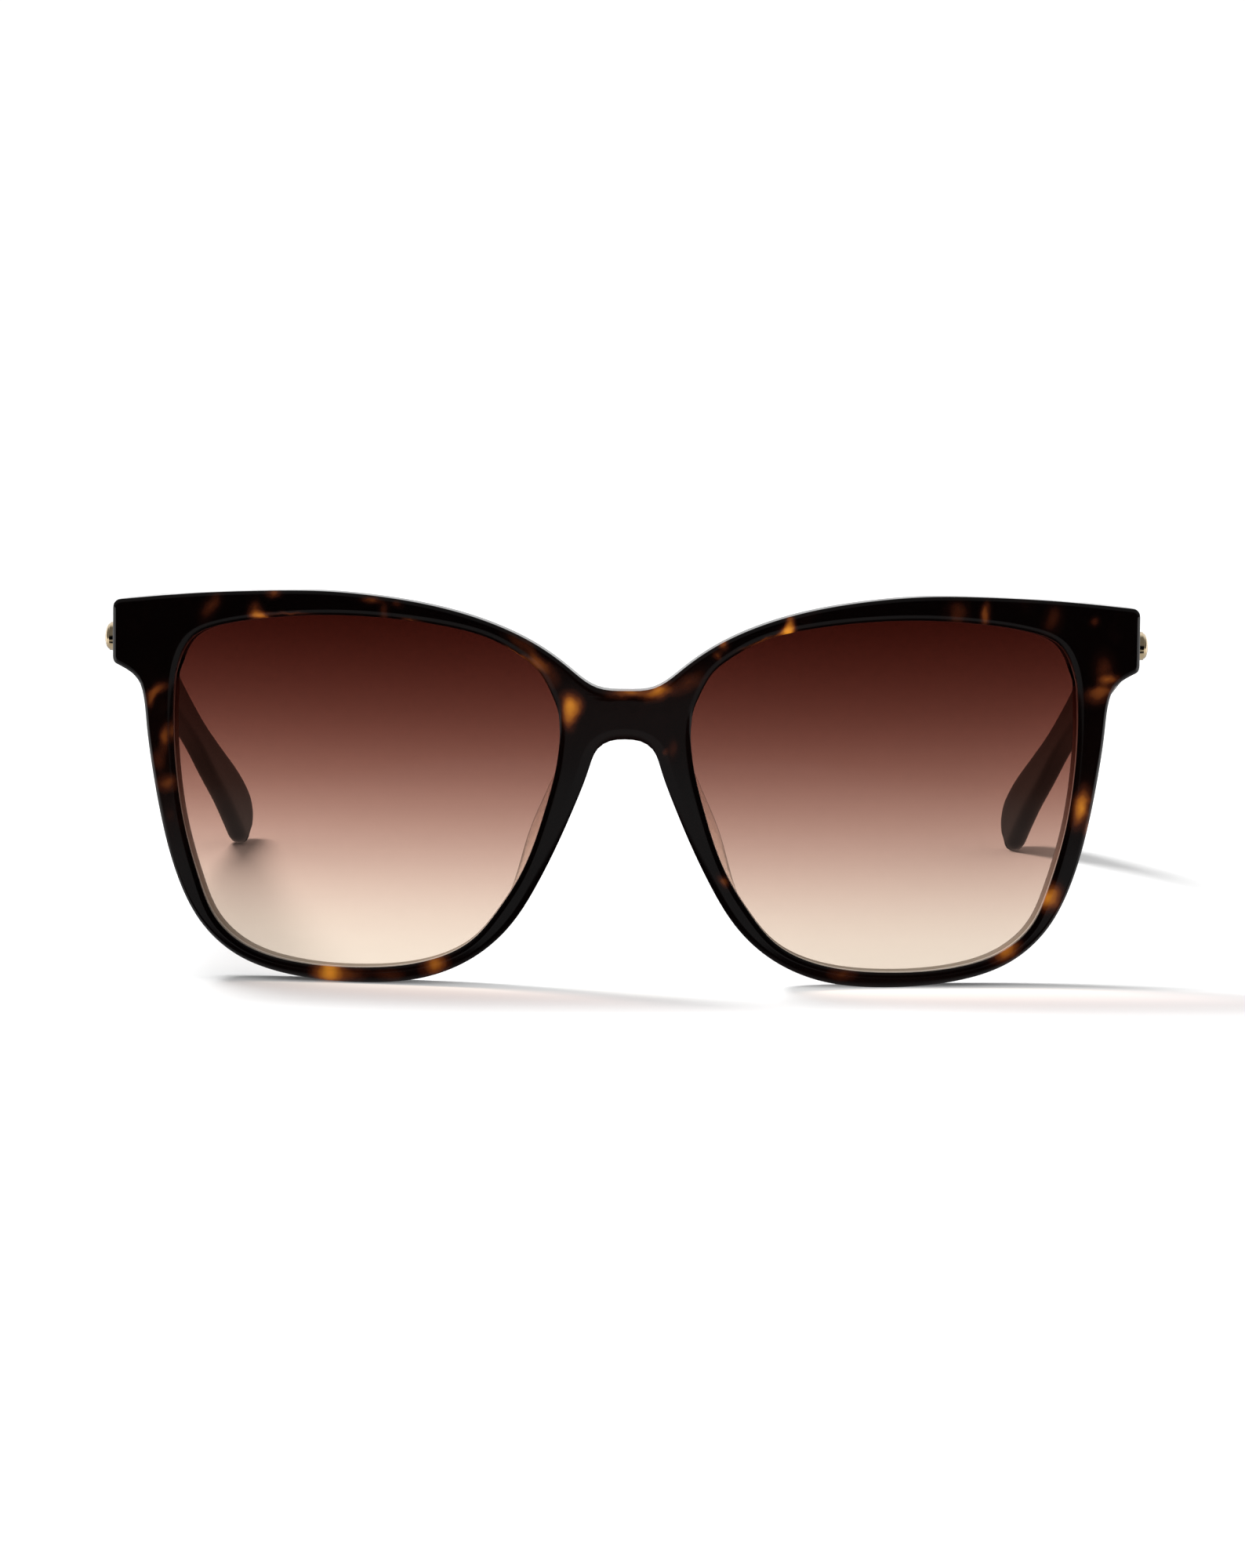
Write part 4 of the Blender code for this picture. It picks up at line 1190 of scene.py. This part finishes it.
def floor_sheen(nodes, x, y):
    """How bright the floor looks when mirrored: brightest far behind, dark right in front of the rims."""
    beside = nodes.math("ABSOLUTE", x)
    behind = nodes.between(y, *FAR_BEHIND_Y, SHEEN_BEHIND, SHEEN_FAR)
    behind = nodes.math("MULTIPLY", nodes.between(y, *BEHIND_Y), behind)
    ahead = nodes.between(y, *FAR_AHEAD_Y, 0.0, SHEEN_AHEAD)
    ahead = nodes.math("MAXIMUM", ahead, nodes.between(y, *FARTHEST_Y, 0.0, SHEEN_BRIDGE))
    ahead = nodes.math("MULTIPLY", nodes.between(y, *AHEAD_Y), ahead)
    ahead = nodes.math("MULTIPLY", ahead, nodes.between(beside, *AHEAD_X))
    aside = nodes.between(beside, *ASIDE_X, 0.0, SHEEN_ASIDE)
    aside = nodes.math("MULTIPLY", nodes.between(y, *ASIDE_Y), aside)
    return nodes.math("ADD", nodes.math("ADD", behind, ahead), aside)


def make_floor():
    """A plain white floor. It glows a little far from the glasses, where it meets the white backdrop, on
    their +X side and in front of the rims. Mirror rays see a brightness of its own, the sheen."""
    shape = bmesh.new()
    bmesh.ops.create_grid(shape, x_segments=2, y_segments=2, size=FLOOR_SIZE / 2)
    floor = linked(shape, "floor")
    floor.location.z = -0.00002
    material, nodes = new_material("floor_paper")
    place = nodes.place()
    grain = nodes.noise(place, 30.0, 3.0, 0.5)
    colour = nodes.ramp(grain, [(0.0, (0.93, 0.93, 0.93)), (1.0, (0.95, 0.95, 0.95))])
    x, y, _ = nodes.parts(place)
    glow = nodes.math("MULTIPLY", nodes.between(nodes.length(place), *AWAY), FLOOR_GLOW)
    glow = nodes.math("MAXIMUM", glow, fore_glow(nodes, x, y))
    glow = nodes.math("MAXIMUM", glow, nodes.between(x, *SIDE_X, 0.0, SIDE_GLOW))
    inputs = {"Base Color": colour, "Roughness": 0.9, "Specular IOR Level": 0.0}
    inputs |= {"Emission Color": WHITE, "Emission Strength": glow}
    paper = nodes.add("ShaderNodeBsdfPrincipled", inputs)
    sheen = nodes.add("ShaderNodeEmission", {"Color": WHITE, "Strength": floor_sheen(nodes, x, y)})
    mirrored = nodes.add("ShaderNodeLightPath").outputs["Is Glossy Ray"]
    nodes.end(nodes.mix(mirrored, paper, sheen))
    floor.data.materials.append(material)


def make_world():
    """What mirrors see is a bright rear wall and a dim ceiling, over a dark room in front. Diffuse rays
    get one even light, and the backdrop itself is white."""
    world = bpy.data.worlds.new("studio")
    nodes = emptied(world)
    parts = nodes.parts(nodes.add("ShaderNodeTexCoord").outputs["Generated"])
    upwards = nodes.math("MULTIPLY", parts["Z"], 0.75)
    up_and_back = nodes.math("ADD", upwards, nodes.math("MULTIPLY", parts["Y"], 0.66))
    above = nodes.between(up_and_back, -0.1, 0.35)
    over_ground = nodes.between(parts["Z"], -0.02, 0.0)
    ceiling = nodes.math("MULTIPLY", nodes.math("MULTIPLY", above, over_ground), CEILING)
    rear = nodes.math("MULTIPLY", nodes.between(parts["Y"], 0.6, 0.9), over_ground)
    studio = nodes.math("ADD", ceiling, nodes.math("MULTIPLY", rear, REAR_WALL))
    rays = nodes.add("ShaderNodeLightPath").outputs

    def either(ray, level, other):
        inputs = {0: rays[ray], 2: level, 3: other}
        return nodes.add("ShaderNodeMix", inputs, data_type="FLOAT").outputs[0]

    strength = either("Is Camera Ray", either("Is Diffuse Ray", studio, ROOM_LIGHT), BACKDROP)
    shader = nodes.add("ShaderNodeBackground", {"Color": WHITE, "Strength": strength})
    nodes.end(shader, "ShaderNodeOutputWorld")
    bpy.context.scene.world = world


def make_lamp():
    """A soft round lamp above and behind one side, as strong near it as far from it."""
    data = bpy.data.lights.new("lamp", "POINT")
    data.energy = 1.0
    data.shadow_soft_size = LAMP_RADIUS * MM
    nodes = emptied(data)
    falloff = nodes.add("ShaderNodeLightFalloff", {"Strength": LAMP_STRENGTH}).outputs["Constant"]
    shader = nodes.add("ShaderNodeEmission", {"Color": WHITE, "Strength": falloff})
    nodes.end(shader, "ShaderNodeOutputLight")
    lamp = bpy.data.objects.new("lamp", data)
    lamp.location = Vector(LAMP_PLACE) * MM
    lamp.visible_camera = False
    lamp.visible_glossy = False
    bpy.context.scene.collection.objects.link(lamp)


make_camera()
make_floor()
make_world()
make_lamp()
bpy.context.scene.view_settings.view_transform = "Standard"

front_acetate = acetate_material("tortoise_front", PATCHES, 0.25)
temple_acetate = acetate_material("tortoise_temple", [], 0.75)
lens_tint = lens_material()
clear_acetate = clear_material()
hinge_steel = metal_material(
    "hinge_steel_brushed", (0.42, 0.41, 0.40), (0.70, 0.69, 0.67), 0.2, 0.38, (1, 1, 6)
)
core_steel = metal_material(
    "core_steel_drawn", (0.38, 0.38, 0.39), (0.60, 0.60, 0.61), 0.25, 0.45, (6, 1, 6)
)
gold_plate = metal_material(
    "gold_plate_polished", (0.93, 0.68, 0.38), (0.99, 0.82, 0.56), 0.08, 0.16, (1, 1, 1)
)

make_front(front_acetate)
for side_name, side in SIDES.items():
    lens = scratch_object(lens_shape(), side)
    lens_name = "lens_" + side_name
    finished(lens, lens_name + "_dished", "front", lens_tint, [lens_name])
    pad = scratch_object(pad_shape(), side)
    pad_name = "nose_pad_" + side_name
    finished(pad, pad_name + "_moulded", "front", clear_acetate, [pad_name], sharp=60.0)
    make_hinge(side_name, side, hinge_steel)
    make_temple(side_name, side, temple_acetate, gold_plate)
    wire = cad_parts["core_wire_" + side_name]
    for material_slot in wire.material_slots:
        material_slot.material = core_steel
